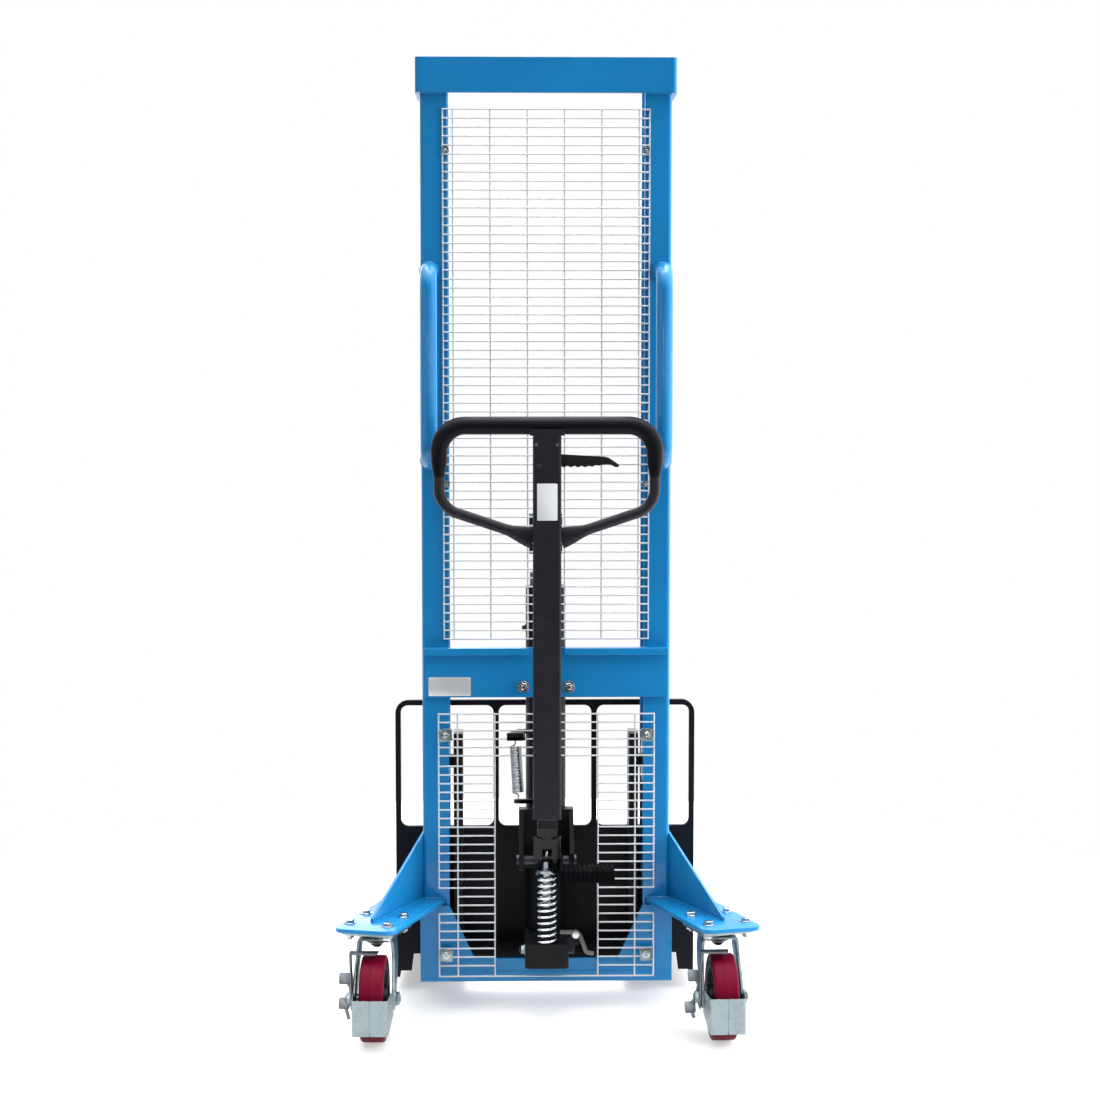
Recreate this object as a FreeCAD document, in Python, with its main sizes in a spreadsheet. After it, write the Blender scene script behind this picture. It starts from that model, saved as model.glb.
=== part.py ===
# A hand pallet stacker as an assembly of separate pieces, in millimetres.
# +Z is up, the operator stands at -Y, the forks point to +Y.
# Heights count from the floor, depths from the rear face of the mast channels.
import FreeCAD, Part
import Sketcher
import math
import operator
import os

SIZES = {
    # Mast channels and the strap round their tops
    "mast_height": 2060, "mast_width": 540, "channel_depth": 120, "channel_flange": 58,
    "channel_web": 7, "flange_thick": 9, "channel_root": 8, "channel_toe": 4, "channel_corner": 8,
    "mast_drop": 4, "strap_tall": 75, "strap_thick": 10, "strap_bend": 9,
    # Cross beam and base
    "beam_short": 6, "beam_low": 686, "beam_high": 795, "beam_thick": 10, "lip_reach": 26,
    "lip_tall": 15, "lip_notch": 78, "base_over": 6, "base_low": 57, "base_thick": 10,
    "floor_high": 107, "floor_thick": 10, "floor_gap": 7, "base_flare": 55,
    # Straddle legs and their load rollers
    "leg_over": 2, "leg_width": 82, "leg_top": 74, "leg_low": 32, "leg_wall": 8, "leg_short": 106,
    "leg_relief": 105, "leg_nose": 18, "load_radius": 37, "load_width": 62, "load_axle": 10,
    "load_setback": 42, "load_room": 12,
    # Outriggers
    "swivel_out": 90, "swivel_back": 185, "splay": 20, "outrigger_top": 236, "outrigger_thick": 10,
    "outrigger_inner": 75.5, "outrigger_outer": 60.5, "outrigger_end": 97, "outrigger_corner": 26,
    "outrigger_fore": 75, "gusset_thick": 10, "gusset_high": 376, "gusset_toe": 12, "gusset_reach": 26,
    "gusset_overrun": 15,
    # Casters
    "caster_plate": 116, "plate_thick": 8, "bolt_pitch": 86, "bolt_radius": 6, "bolt_head": 10,
    "head_tall": 8, "race_radius": 40, "race_tall": 12, "kingpin": 12, "kingpin_head": 20,
    "crown_gap": 2, "crown_thick": 10, "crown_half": 40, "caster_turn": 2, "trail": 62,
    "wheel_radius": 90, "wheel_width": 50, "tread_thick": 15, "tread_round": 5, "hub_radius": 28,
    "hub_width": 62, "disc_width": 24, "fork_gap": 75, "fork_sheet": 6, "axle_radius": 10,
    "axle_boss": 22, "axle_nut": 15, "nut_tall": 9, "guard_width": 74, "guard_sheet": 2,
    "guard_gap": 8, "guard_low": 39, "guard_high": 113, "brake_sheet": 4, "brake_tab": 22,
    "brake_tab_wide": 34, "shoe_gap": 4, "shoe_reach": 64, "shoe_wide": 26, "brake_rise": 41,
    # Bow handles on the mast
    "bow_inset": 19, "bow_low": 1201, "bow_high": 1607, "bow_reach": 58, "bow_radius": 18, "bow_bend": 44,
    # Wire guards and what holds them
    "wire": 4.5, "net_thick": 5, "upper_cover": 12, "upper_low": 811, "upper_below": 107,
    "upper_edge": 22, "lower_cover": 24, "lower_low": 72, "lower_high": 655, "lower_edge": 41,
    "cut_half": 110, "cut_high": 541, "standoff": 28, "tab_inset": 6, "tab_half": 9, "tab_high": 607,
    "tab_low": 122, "clamp_half": 14, "clamp_thick": 3, "clamp_bolt": 7, "clamp_head": 5,
    "clip_inset": 4, "clip_drop": 89, "clip_lower": 1150, "clip_half": 7,
    # Lift cylinder, rod and chain
    "cylinder_y": 62, "cylinder_radius": 44, "cylinder_bore": 36, "cylinder_foot": 118,
    "cylinder_high": 924, "gland_radius": 35, "gland_high": 954, "gland_spigot": 24,
    "rod_radius": 22.5, "rod_high": 996, "piston_tall": 24, "rod_lift": 2,
    "head_half": 36, "head_sheet": 10, "head_deep": 30, "pulley_lift": 72, "pulley_offset": 6,
    "pulley_pin": 10, "pulley_groove": 51, "pulley_flange": 59, "pulley_width": 48, "flange_width": 5,
    "chain_half": 12, "chain_thick": 10, "chain_seat": 0.3, "chain_free_low": 205, "anchor_tall": 55,
    "anchor_half": 16, "hanger_tall": 40, "ubolt_z": 709, "ubolt_radius": 6, "ubolt_nut": 10,
    "washer_radius": 13, "washer_thick": 3,
    # Pump, yoke and tiller
    "block_half": 47, "block_rear": 92, "block_high": 160, "block_front": 110, "block_round": 10,
    "foot_gap": 8, "foot_thick": 4, "pump_y": -74, "barrel_radius": 16, "barrel_high": 236,
    "plunger_radius": 10, "plunger_low": 186, "plunger_stroke": 48, "plunger_head": 18,
    "retainer_radius": 23, "retainer_tall": 6, "plug_radius": 9, "plug_reach": 13,
    "plug_z": 142, "plug_y": -62, "pivot_y": -28, "pivot_z": 330, "pin_radius": 12, "pin_over": 5,
    "yoke_half": 60, "yoke_sheet": 10, "yoke_low": 306, "yoke_high": 436, "yoke_rear": 52,
    "yoke_web": 12, "saddle_front": 40, "tiller_y": -112, "tiller_half": 30, "tiller_deep": 44,
    "tiller_low": 441, "tiller_high": 1270, "tiller_round": 6, "head_over": 6, "head_plate": 13,
    "rocker_half": 21, "rocker_slot": 26, "nose_radius": 12, "nose_lift": 22, "nose_back": 46,
    "nose_gap": 0.8, "boss_radius": 20, "arm_x": 27, "arm_thick": 8, "pad_length": 110, "pad_deep": 70,
    "pad_thick": 28, "pad_y": -130, "pad_z": 324, "groove_wide": 3, "groove_deep": 3, "groove_count": 12,
    # Handle loop, grip and hand lever
    "loop_half": 228, "loop_top": 1278, "loop_bend": 54, "loop_low": 1107, "loop_knee": 52,
    "loop_end": 1042, "loop_radius": 12, "grip_radius": 19, "grip_low": 1176, "lever_thick": 8,
    "lever_slot": 11, "lever_pin": 4, "lever_pin_x": 16, "lever_z": 1207, "lever_tip": 154,
    "lever_room": 20, "lever_root": 12, "lever_wave": 2.5, "lever_nose": 8, "lever_fall": 8,
    "lever_pin_half": 15,
    # Lowering valve lever on the pump
    "release_x": 62, "release_z": 181, "release_y": -88, "release_thick": 5, "release_pin": 4,
    "release_arm": 34, "release_drop": 34, "release_foot": 22, "release_wide": 11, "ear_thick": 8,
    # Springs
    "pump_wire": 5, "pump_turns": 12, "spring_seat": 0.6, "return_wire": 3.4, "return_turns": 15,
    "return_radius": 10, "return_margin": 22, "hook_x": -58, "hook_y": -66, "hook_z": 602,
    "tail_x": -47, "tail_y": -92, "tail_z": 478,
    "bracket_thick": 8, "bracket_wide": 24, "spring_tab": 8,
    # Carriage, backrest and forks
    "carriage_gap": 10, "carriage_thick": 12, "carriage_over": 66, "carriage_high": 362,
    "side_gap": 9, "side_thick": 20, "side_low": 112, "side_high": 600, "side_rear": 26,
    "roller_radius": 50, "roller_width": 40, "roller_inset": 2, "roller_pin": 15, "roller_upper": 535,
    "roller_lower": 190, "backrest_high": 660, "bar_wide": 12, "backrest_round": 30,
    "window_round": 16, "inner_bar": 110, "fork_width": 160, "fork_top": 92, "heel_step": 2,
    "fork_plate": 10, "fork_skirt": 8, "fork_low": 28, "fork_length": 1150, "fork_taper": 260,
    "fork_tip": 30, "fork_nose": 40, "heel_wide": 39, "heel_slope": 5, "heel_lift": 15, "heel_thick": 10,
    # Clearances
    "run_fit": 0.06, "side_play": 1,
}

doc = FreeCAD.newDocument("stacker")
sheet = doc.addObject("Spreadsheet::Sheet", "sizes")
for row, (name, number) in enumerate(SIZES.items(), start=1):
    sheet.set("A%d" % row, name)
    sheet.set("B%d" % row, str(number))
    sheet.setAlias("B%d" % row, name)
doc.recompute()

SIGNS = {"+": operator.add, "-": operator.sub, "*": operator.mul, "/": operator.truediv}
ZERO = 1e-9


class Size:
    """A number together with the sheet formula that gives it."""

    def __init__(self, value, formula):
        self.value = float(value)
        self.formula = formula

    def __add__(self, other):
        return combined(self, other, "+")

    def __radd__(self, other):
        return combined(other, self, "+")

    def __sub__(self, other):
        return combined(self, other, "-")

    def __rsub__(self, other):
        return combined(other, self, "-")

    def __mul__(self, other):
        return combined(self, other, "*")

    def __rmul__(self, other):
        return combined(other, self, "*")

    def __truediv__(self, other):
        return combined(self, other, "/")

    def __neg__(self):
        return combined(0, self, "-")


def sized(number):
    return number if isinstance(number, Size) else Size(number, repr(number))


def combined(left, right, sign):
    left, right = sized(left), sized(right)
    return Size(SIGNS[sign](left.value, right.value), "(%s %s %s)" % (left.formula, sign, right.formula))


def sine(angle):
    return Size(math.sin(math.radians(angle.value)), "sin(%s * 1 deg)" % angle.formula)


def cosine(angle):
    return Size(math.cos(math.radians(angle.value)), "cos(%s * 1 deg)" % angle.formula)


class Sheet:
    """Gives each cell of the sheet by its alias."""

    def __getattr__(self, alias):
        return Size(getattr(sheet, alias), "sizes." + alias)


S = Sheet()
SIDES = {"left": -1, "right": 1}
pieces = []

# Sizes that several pieces share
mast_half = S.mast_width / 2
flange_tip = mast_half - S.channel_flange
beam_half = mast_half - S.beam_short
base_half = mast_half + S.base_over
floor_half = flange_tip - S.floor_gap
swivel_x = mast_half + S.swivel_out
bow_x = mast_half - S.bow_inset
upper_half = flange_tip + S.upper_cover
upper_high = S.mast_height - S.upper_below
lower_half = flange_tip + S.lower_cover
tab_x = flange_tip + S.tab_inset
clip_x = flange_tip + S.clip_inset
clip_upper = upper_high - S.clip_drop
carriage_y = S.channel_depth + S.carriage_gap
carriage_half = mast_half + S.carriage_over
side_outer = flange_tip - S.side_gap
side_inner = side_outer - S.side_thick
foot_half = side_inner - S.foot_gap
fork_inner = carriage_half - S.fork_width
heel_top = S.fork_top - S.heel_step
outrigger_low = S.outrigger_top - S.outrigger_thick
plate_low = outrigger_low - S.plate_thick
race_low = plate_low - S.race_tall
crown_top = race_low - S.crown_gap
crown_low = crown_top - S.crown_thick
fork_half = S.fork_gap / 2 + S.fork_sheet
guard_reach = S.trail + S.wheel_radius + S.guard_gap + S.guard_sheet
lean_sine = sine(S.splay)
lean_cosine = cosine(S.splay)
turn_sine = sine(S.caster_turn)
turn_cosine = cosine(S.caster_turn)
carriage_front = carriage_y + S.carriage_thick
fork_front = carriage_front + S.fork_length
rear_edge = 0 - S.swivel_back - guard_reach * turn_cosine - S.guard_width / 2 * turn_sine
frame_shift = 0 - (rear_edge + fork_front) / 2
leg_front = fork_front - S.leg_short
load_y = leg_front - S.load_setback
roller_y = S.channel_depth / 2
pulley_y = S.cylinder_y + S.pulley_offset
pulley_z = S.rod_high + S.pulley_lift
pulley_reach = S.pulley_groove + S.chain_seat + S.chain_thick / 2
nose_y = S.pivot_y - S.nose_back
nose_z = S.pivot_z + S.nose_lift
plunger_high = nose_z - S.nose_radius - S.nose_gap
retainer_high = plunger_high - S.plunger_head
retainer_low = retainer_high - S.retainer_tall
tiller_rear = S.tiller_y - S.tiller_deep / 2
tiller_front = S.tiller_y + S.tiller_deep / 2
leg_outer = mast_half + S.leg_over
leg_inner = leg_outer - S.leg_width
ubolt_x = S.cylinder_radius + S.ubolt_radius
net_front = 0 - S.standoff
net_rear = net_front - S.net_thick


def bind(item, path, size):
    item.setExpression(path, sized(size).formula)


def new_body(label):
    """A body that joins the assembly under its own name, shifted into the shared frame."""
    body = loose_body(label)
    bind(body, "Placement.Base.y", frame_shift)
    pieces.append(body)
    return body


def loose_body(name):
    body = doc.addObject("PartDesign::Body", name)
    body.Label = name
    return body


def plane_of(body, role):
    return next(item for item in body.Origin.OriginFeatures if item.Role == role)


# A plane's normal is +Z for XY, +X for YZ and -Y for XZ.
def new_sketch(body, plane, level):
    sketch = body.newObject("Sketcher::SketchObject", body.Name + "_outline")
    sketch.AttachmentSupport = [(plane_of(body, plane + "_Plane"), "")]
    sketch.MapMode = "FlatFace"
    bind(sketch, "AttachmentOffset.Base.z", 0 - level if plane == "XZ" else level)
    return sketch


def pin_point(sketch, line, end, across, upward):
    """Ties one end of a line, or a circle's centre, to two sheet formulas."""
    for kind, size, axis in (("DistanceX", across, -2), ("DistanceY", upward, -1)):
        size = sized(size)
        if abs(size.value) < ZERO:
            sketch.addConstraint(Sketcher.Constraint("PointOnObject", line, end, axis))
        else:
            index = sketch.addConstraint(Sketcher.Constraint(kind, -1, 1, line, end, size.value))
            bind(sketch, "Constraints[%d]" % index, size)


def draw_outline(sketch, points):
    first = sketch.GeometryCount
    corners = [FreeCAD.Vector(sized(across).value, sized(upward).value, 0) for across, upward in points]
    count = len(corners)
    for index, corner in enumerate(corners):
        sketch.addGeometry(Part.LineSegment(corner, corners[(index + 1) % count]))
    for index, (across, upward) in enumerate(points):
        line = first + index
        following = first + (index + 1) % count
        sketch.addConstraint(Sketcher.Constraint("Coincident", line, 2, following, 1))
        pin_point(sketch, line, 1, across, upward)


def draw_circle(sketch, across, upward, radius):
    centre = FreeCAD.Vector(sized(across).value, sized(upward).value, 0)
    circle = sketch.addGeometry(Part.Circle(centre, FreeCAD.Vector(0, 0, 1), sized(radius).value))
    pin_point(sketch, circle, 3, across, upward)
    index = sketch.addConstraint(Sketcher.Constraint("Radius", circle, sized(radius).value))
    bind(sketch, "Constraints[%d]" % index, radius)


def pad(body, plane, low, high, outline=None, circles=()):
    """Adds a prism between two levels along the plane's axis."""
    sketch = new_sketch(body, plane, high if plane == "XZ" else low)
    if outline:
        draw_outline(sketch, outline)
    for across, upward, radius in circles:
        draw_circle(sketch, across, upward, radius)
    feature = body.newObject("PartDesign::Pad", body.Name + "_pad")
    feature.Profile = sketch
    bind(feature, "Length", sized(high) - low)
    return feature


def pocket(body, plane, low, high, outline=None, circles=()):
    """Cuts a prism between two levels along the plane's axis and checks that it cut."""
    doc.recompute()
    before = body.Shape.Volume
    sketch = new_sketch(body, plane, low if plane == "XZ" else high)
    if outline:
        draw_outline(sketch, outline)
    for across, upward, radius in circles:
        draw_circle(sketch, across, upward, radius)
    feature = body.newObject("PartDesign::Pocket", body.Name + "_pocket")
    feature.Profile = sketch
    bind(feature, "Length", sized(high) - low)
    doc.recompute()
    if body.Shape.Volume >= before - ZERO:
        raise RuntimeError("a pocket in %s cuts nothing" % body.Label)
    return feature


AXES = {"XY": "xyz", "YZ": "yzx", "XZ": "xzy"}
NEAR = 0.001


def round_corners(body, plane, corners, radius):
    """Rounds the straight edges that stand on the given corners of an outline."""
    doc.recompute()
    base = body.Tip
    first, second, along = AXES[plane]
    names = []
    for index, edge in enumerate(base.Shape.Edges, start=1):
        ends = [edge.firstVertex().Point, edge.lastVertex().Point]
        if abs(getattr(ends[0], along) - getattr(ends[-1], along)) < NEAR:
            continue
        for across, upward in corners:
            wanted = ((first, sized(across).value), (second, sized(upward).value))
            if all(abs(getattr(end, axis) - place) < NEAR for end in ends for axis, place in wanted):
                names.append("Edge%d" % index)
    fillet = body.newObject("PartDesign::Fillet", body.Name + "_round")
    fillet.Base = (base, names)
    bind(fillet, "Radius", radius)
    return fillet


def rectangle(left, right, low, high):
    return [(left, low), (right, low), (right, high), (left, high)]


def square(across, upward, half):
    return rectangle(across - half, across + half, upward - half, upward + half)


TURNS = {
    "Z": FreeCAD.Rotation(),
    "X": FreeCAD.Rotation(FreeCAD.Vector(0, 1, 0), 90),
    "Y": FreeCAD.Rotation(FreeCAD.Vector(1, 0, 0), -90),
}


def turned(body, profile, centre, axis):
    """Revolves a profile of radius and height, and sets its axis at the centre."""
    sketch = new_sketch(body, "XZ", sized(0))
    draw_outline(sketch, profile)
    feature = body.newObject("PartDesign::Revolution", body.Name + "_turn")
    feature.Profile = sketch
    feature.ReferenceAxis = (sketch, ["V_Axis"])
    body.Placement = FreeCAD.Placement(FreeCAD.Vector(), TURNS[axis])
    for letter, size in zip("xyz", centre):
        bind(body, "Placement.Base." + letter, size)
    return body


def ordered(first, second):
    """Two sizes, the smaller one first."""
    return (first, second) if first.value < second.value else (second, first)


def ring(inner, outer, low, high):
    return [(inner, low), (outer, low), (outer, high), (inner, high)]


def group(label, members, spot=None, turn=None):
    """A named piece of several solids, or one set down and turned about the upright axis."""
    item = doc.addObject("Part::Compound", label)
    item.Label = label
    item.Links = members
    across, back = spot if spot else (0, 0)
    bind(item, "Placement.Base.x", across)
    bind(item, "Placement.Base.y", frame_shift + back)
    if turn is not None:
        item.Placement.Rotation = FreeCAD.Rotation(FreeCAD.Vector(0, 0, 1), turn.value)
        bind(item, "Placement.Rotation.Angle", turn)
    pieces.append(item)
    return item


def formed(label, shape):
    """A piece whose shape is made here, for bent tubes, springs and nets."""
    item = doc.addObject("Part::Feature", label)
    item.Label = label
    item.Shape = shape
    bind(item, "Placement.Base.y", frame_shift)
    pieces.append(item)
    return item


def vector(across, back, height):
    return FreeCAD.Vector(sized(across).value, sized(back).value, sized(height).value)


def bent_route(points, bends):
    """A wire of straight runs joined by tangent arcs at the inner points."""
    edges = []
    start = points[0]
    for index in range(1, len(points) - 1):
        corner = points[index]
        back = (points[index - 1] - corner).normalize()
        onward = (points[index + 1] - corner).normalize()
        half = back.getAngle(onward) / 2
        setback = bends[index - 1] / math.tan(half)
        entry = corner + back * setback
        leave = corner + onward * setback
        middle = (back + onward).normalize()
        crest = corner + middle * (bends[index - 1] / math.sin(half) - bends[index - 1])
        edges.append(Part.LineSegment(start, entry).toShape())
        edges.append(Part.Arc(entry, crest, leave).toShape())
        start = leave
    edges.append(Part.LineSegment(start, points[-1]).toShape())
    return Part.Wire(edges)


def swept(route, radius):
    """A round bar along a wire."""
    first = route.Edges[0]
    start = first.valueAt(first.FirstParameter)
    heading = first.tangentAt(first.FirstParameter)
    section = Part.Wire(Part.makeCircle(radius, start, heading))
    return route.makePipeShell([section], True, False)


def mast(name, side):
    body = new_body("mast_" + name)
    outer = mast_half * side
    inner_web = outer - S.channel_web * side
    tip = flange_tip * side
    far = S.channel_depth
    near_root = S.flange_thick
    far_root = far - S.flange_thick
    outline = [(outer, 0), (outer, far), (tip, far), (tip, far_root), (inner_web, far_root),
               (inner_web, near_root), (tip, near_root), (tip, 0)]
    pad(body, "XY", S.leg_top, S.mast_height - S.mast_drop, outline)
    round_corners(body, "XY", [(inner_web, near_root), (inner_web, far_root)], S.channel_root)
    round_corners(body, "XY", [(tip, near_root), (tip, far_root)], S.channel_toe)
    round_corners(body, "XY", [(outer, 0), (outer, far)], S.channel_corner)
    tab = tab_x * side
    pad(body, "XY", S.tab_high - S.tab_half, S.tab_high + S.tab_half,
        rectangle(tab - S.tab_half, tab + S.tab_half, net_front, 0))


def top_strap():
    body = new_body("top_strap")
    outer = mast_half + S.strap_thick
    rear = 0 - S.strap_thick
    outline = [(0 - outer, S.channel_depth), (0 - outer, rear), (outer, rear), (outer, S.channel_depth),
               (mast_half, S.channel_depth), (mast_half, 0), (0 - mast_half, 0),
               (0 - mast_half, S.channel_depth)]
    pad(body, "XY", S.mast_height - S.strap_tall, S.mast_height, outline)
    round_corners(body, "XY", [(0 - outer, rear), (outer, rear)], S.strap_bend)


def cross_beam():
    body = new_body("cross_beam")
    face = 0 - S.beam_thick
    lip = 0 - S.lip_reach
    lip_low = S.beam_high - S.lip_tall
    outline = [(0, S.beam_low), (0, S.beam_high), (lip, S.beam_high), (lip, lip_low), (face, lip_low),
               (face, S.beam_low)]
    pad(body, "YZ", 0 - beam_half, beam_half, outline)
    pocket(body, "XY", lip_low, S.beam_high,
           rectangle(0 - S.lip_notch / 2, S.lip_notch / 2, lip, face))
    holes = [(ubolt_x * side, S.ubolt_z, S.ubolt_radius) for side in (-1, 1)]
    pocket(body, "XZ", face, sized(0), circles=holes)
    anchor_front = pulley_y - pulley_reach + S.chain_thick / 2
    pad(body, "XY", S.beam_high - S.anchor_tall, S.beam_high,
        rectangle(0 - S.anchor_half, S.anchor_half, 0, anchor_front))


def base_plate():
    body = new_body("base_plate")
    half = base_half
    rear = 0 - S.base_thick
    toe = flange_tip - S.base_flare
    outline = [(0 - half, S.base_low), (half, S.base_low), (half, outrigger_low),
               (flange_tip, outrigger_low), (toe, S.floor_high), (0 - toe, S.floor_high),
               (0 - flange_tip, outrigger_low), (0 - half, outrigger_low)]
    pad(body, "XZ", rear, sized(0), outline)
    pad(body, "XY", S.floor_high - S.floor_thick, S.floor_high,
        rectangle(0 - floor_half, floor_half, 0, S.channel_depth))
    for side in (-1, 1):
        tab = tab_x * side
        pad(body, "XY", S.tab_low - S.tab_half, S.tab_low + S.tab_half,
            rectangle(tab - S.tab_half, tab + S.tab_half, net_front, rear))


def leg(name, side):
    body = new_body("leg_" + name)
    inner = leg_inner * side
    outer = leg_outer * side
    inner_face = inner + S.leg_wall * side
    outer_face = outer - S.leg_wall * side
    under = S.leg_top - S.leg_wall
    outline = [(inner, S.leg_low), (inner, S.leg_top), (outer, S.leg_top), (outer, S.leg_low),
               (outer_face, S.leg_low), (outer_face, under), (inner_face, under), (inner_face, S.leg_low)]
    pad(body, "XZ", sized(0), leg_front, outline)
    low_x, high_x = ordered(inner, outer)
    low_face, high_face = ordered(inner_face, outer_face)
    pocket(body, "XY", S.leg_low, S.base_low, rectangle(low_x, high_x, 0, S.leg_relief))
    pocket(body, "XY", under, S.leg_top,
           rectangle(low_face, high_face, load_y - S.load_radius - S.load_room, leg_front))
    pocket(body, "YZ", low_x, high_x, circles=[(load_y, S.load_radius, S.load_axle + S.run_fit)])
    round_corners(body, "YZ", [(leg_front, S.leg_low), (leg_front, S.leg_top)], S.leg_nose)


def load_roller(name, side):
    body = new_body("load_roller_" + name)
    roller_half = S.load_width / 2
    axle_half = S.leg_width / 2
    edge = roller_half - S.tread_round
    rim = S.load_radius - S.tread_round
    profile = [(0, 0 - axle_half), (S.load_axle, 0 - axle_half), (S.load_axle, 0 - roller_half),
               (rim, 0 - roller_half), (S.load_radius, 0 - edge), (S.load_radius, edge),
               (rim, roller_half), (S.load_axle, roller_half), (S.load_axle, axle_half), (0, axle_half)]
    middle = (leg_inner + S.leg_width / 2) * side
    turned(body, profile, (middle, frame_shift + load_y, S.load_radius), "X")


def from_swivel(side, along, across):
    """A plan point by its distance along and across the outrigger's centre line."""
    return ((swivel_x + along * lean_sine + across * lean_cosine) * side,
            across * lean_sine - S.swivel_back - along * lean_cosine)


def outrigger(name, side):
    body = new_body("outrigger_" + name)
    inner = 0 - S.outrigger_inner
    outer = S.outrigger_outer
    inner_root = (inner * lean_sine - S.swivel_back) / lean_cosine
    outer_root = (outer * lean_sine - S.swivel_back - S.outrigger_fore) / lean_cosine
    inner_end = from_swivel(side, S.outrigger_end, inner)
    outer_end = from_swivel(side, S.outrigger_end, outer)
    wall = mast_half * side
    outline = [inner_end, outer_end, (from_swivel(side, outer_root, outer)[0], S.outrigger_fore),
               (wall, S.outrigger_fore), (wall, 0), (from_swivel(side, inner_root, inner)[0], 0)]
    reach = S.bolt_pitch / 2
    holes = [from_swivel(side, reach * first, reach * second) + (S.bolt_radius,)
             for first in (-1, 1) for second in (-1, 1)]
    pad(body, "XY", outrigger_low, S.outrigger_top, outline, holes)
    round_corners(body, "XY", [inner_end, outer_end], S.outrigger_corner)
    gusset(body, side)


def gusset(body, side):
    """The upright web that stands on the outrigger's centre line and ends on the channel."""
    wall_run = (swivel_x - mast_half) / lean_sine
    full_run = (swivel_x - mast_half + S.gusset_overrun) / lean_sine
    toe_top = S.outrigger_top + S.gusset_toe
    toe = 0 - S.gusset_reach
    peak = toe_top + (S.gusset_high - toe_top) / (wall_run - toe) * (full_run - toe)
    sketch = new_sketch(body, "YZ", swivel_x * side)
    bind(sketch, "AttachmentOffset.Base.x", 0 - S.swivel_back)
    sketch.AttachmentOffset.Rotation = FreeCAD.Rotation(FreeCAD.Vector(0, 1, 0), S.splay.value * side)
    bind(sketch, "AttachmentOffset.Rotation.Axis.y", side)
    bind(sketch, "AttachmentOffset.Rotation.Angle", S.splay)
    draw_outline(sketch, [(toe, S.outrigger_top), (full_run, S.outrigger_top), (full_run, peak),
                          (toe, toe_top)])
    web = body.newObject("PartDesign::Pad", body.Name + "_gusset")
    web.Profile = sketch
    web.SideType = "Symmetric"
    bind(web, "Length", S.gusset_thick)
    inside = ordered(flange_tip * side, mast_half * side)
    pocket(body, "XY", S.outrigger_top, S.mast_height, rectangle(inside[0], inside[1], 0, S.channel_depth))


def swivel_spot(side):
    return (swivel_x * side, 0 - S.swivel_back)


def caster_plate(name, side):
    body = loose_body("plate_" + name)
    half = S.caster_plate / 2
    reach = S.bolt_pitch / 2
    holes = [(reach * first, reach * second, S.bolt_radius) for first in (-1, 1) for second in (-1, 1)]
    pad(body, "XY", plate_low, outrigger_low, rectangle(0 - half, half, 0 - half, half), holes)
    corners = [(half * first, half * second) for first in (-1, 1) for second in (-1, 1)]
    round_corners(body, "XY", corners, S.bolt_head)
    pad(body, "XY", race_low, plate_low, circles=[(0, 0, S.race_radius)])
    pad(body, "XY", crown_low - S.crown_gap, race_low, circles=[(0, 0, S.kingpin)])
    pad(body, "XY", crown_low - S.crown_gap - S.head_tall, crown_low - S.crown_gap,
        circles=[(0, 0, S.kingpin_head)])
    group("caster_plate_" + name, [body], swivel_spot(side), S.splay * side)


def caster_fork(name, side):
    body = loose_body("swivel_fork_" + name)
    pad(body, "XY", crown_low, crown_top,
        rectangle(0 - fork_half, fork_half, 0 - S.crown_half, S.crown_half),
        [(0, 0, S.kingpin + S.run_fit)])
    axle_y = 0 - S.trail
    boss = S.axle_boss
    blade = [(S.crown_half, crown_top), (S.crown_half, crown_low - boss),
             (axle_y + boss, S.wheel_radius - boss / 2), (axle_y + boss / 2, S.wheel_radius - boss),
             (axle_y - boss / 2, S.wheel_radius - boss), (axle_y - boss, S.wheel_radius - boss / 2),
             (axle_y - boss, S.wheel_radius + boss / 2),
             (0 - S.crown_half, crown_low - boss), (0 - S.crown_half, crown_top)]
    inner = S.fork_gap / 2
    pad(body, "YZ", inner, fork_half, blade)
    pad(body, "YZ", 0 - fork_half, 0 - inner, blade)
    nut_low = fork_half + S.brake_sheet + S.side_play
    for low, high, radius in ((0 - nut_low - S.nut_tall, 0 - nut_low, S.axle_nut),
                              (fork_half, fork_half + S.nut_tall, S.axle_nut),
                              (0 - nut_low, fork_half, S.axle_radius)):
        pad(body, "YZ", low, high, circles=[(axle_y, S.wheel_radius, radius)])
    group("caster_fork_" + name, [body], swivel_spot(side), S.caster_turn * side)


def caster_wheel(name, side):
    centre = (0, 0 - S.trail, S.wheel_radius)
    rim_half = S.wheel_width / 2
    disc_half = S.disc_width / 2
    hub_half = S.hub_width / 2
    rim_outer = S.wheel_radius - S.tread_thick
    rim_inner = rim_outer - S.tread_thick
    bore = S.axle_radius + S.run_fit
    core = loose_body("core_" + name)
    profile = [(bore, 0 - hub_half), (S.hub_radius, 0 - hub_half), (S.hub_radius, 0 - disc_half),
               (rim_inner, 0 - disc_half), (rim_inner, 0 - rim_half), (rim_outer, 0 - rim_half),
               (rim_outer, rim_half), (rim_inner, rim_half), (rim_inner, disc_half),
               (S.hub_radius, disc_half), (S.hub_radius, hub_half), (bore, hub_half)]
    turned(core, profile, centre, "X")
    group("caster_core_" + name, [core], swivel_spot(side), S.caster_turn * side)
    tyre = loose_body("tyre_" + name)
    edge = rim_half - S.tread_round
    shoulder = S.wheel_radius - S.tread_round / 2
    profile = [(rim_outer, 0 - rim_half), (shoulder, 0 - rim_half), (S.wheel_radius, 0 - edge),
               (S.wheel_radius, edge), (shoulder, rim_half), (rim_outer, rim_half)]
    turned(tyre, profile, centre, "X")
    group("caster_tyre_" + name, [tyre], swivel_spot(side), S.caster_turn * side)


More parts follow.
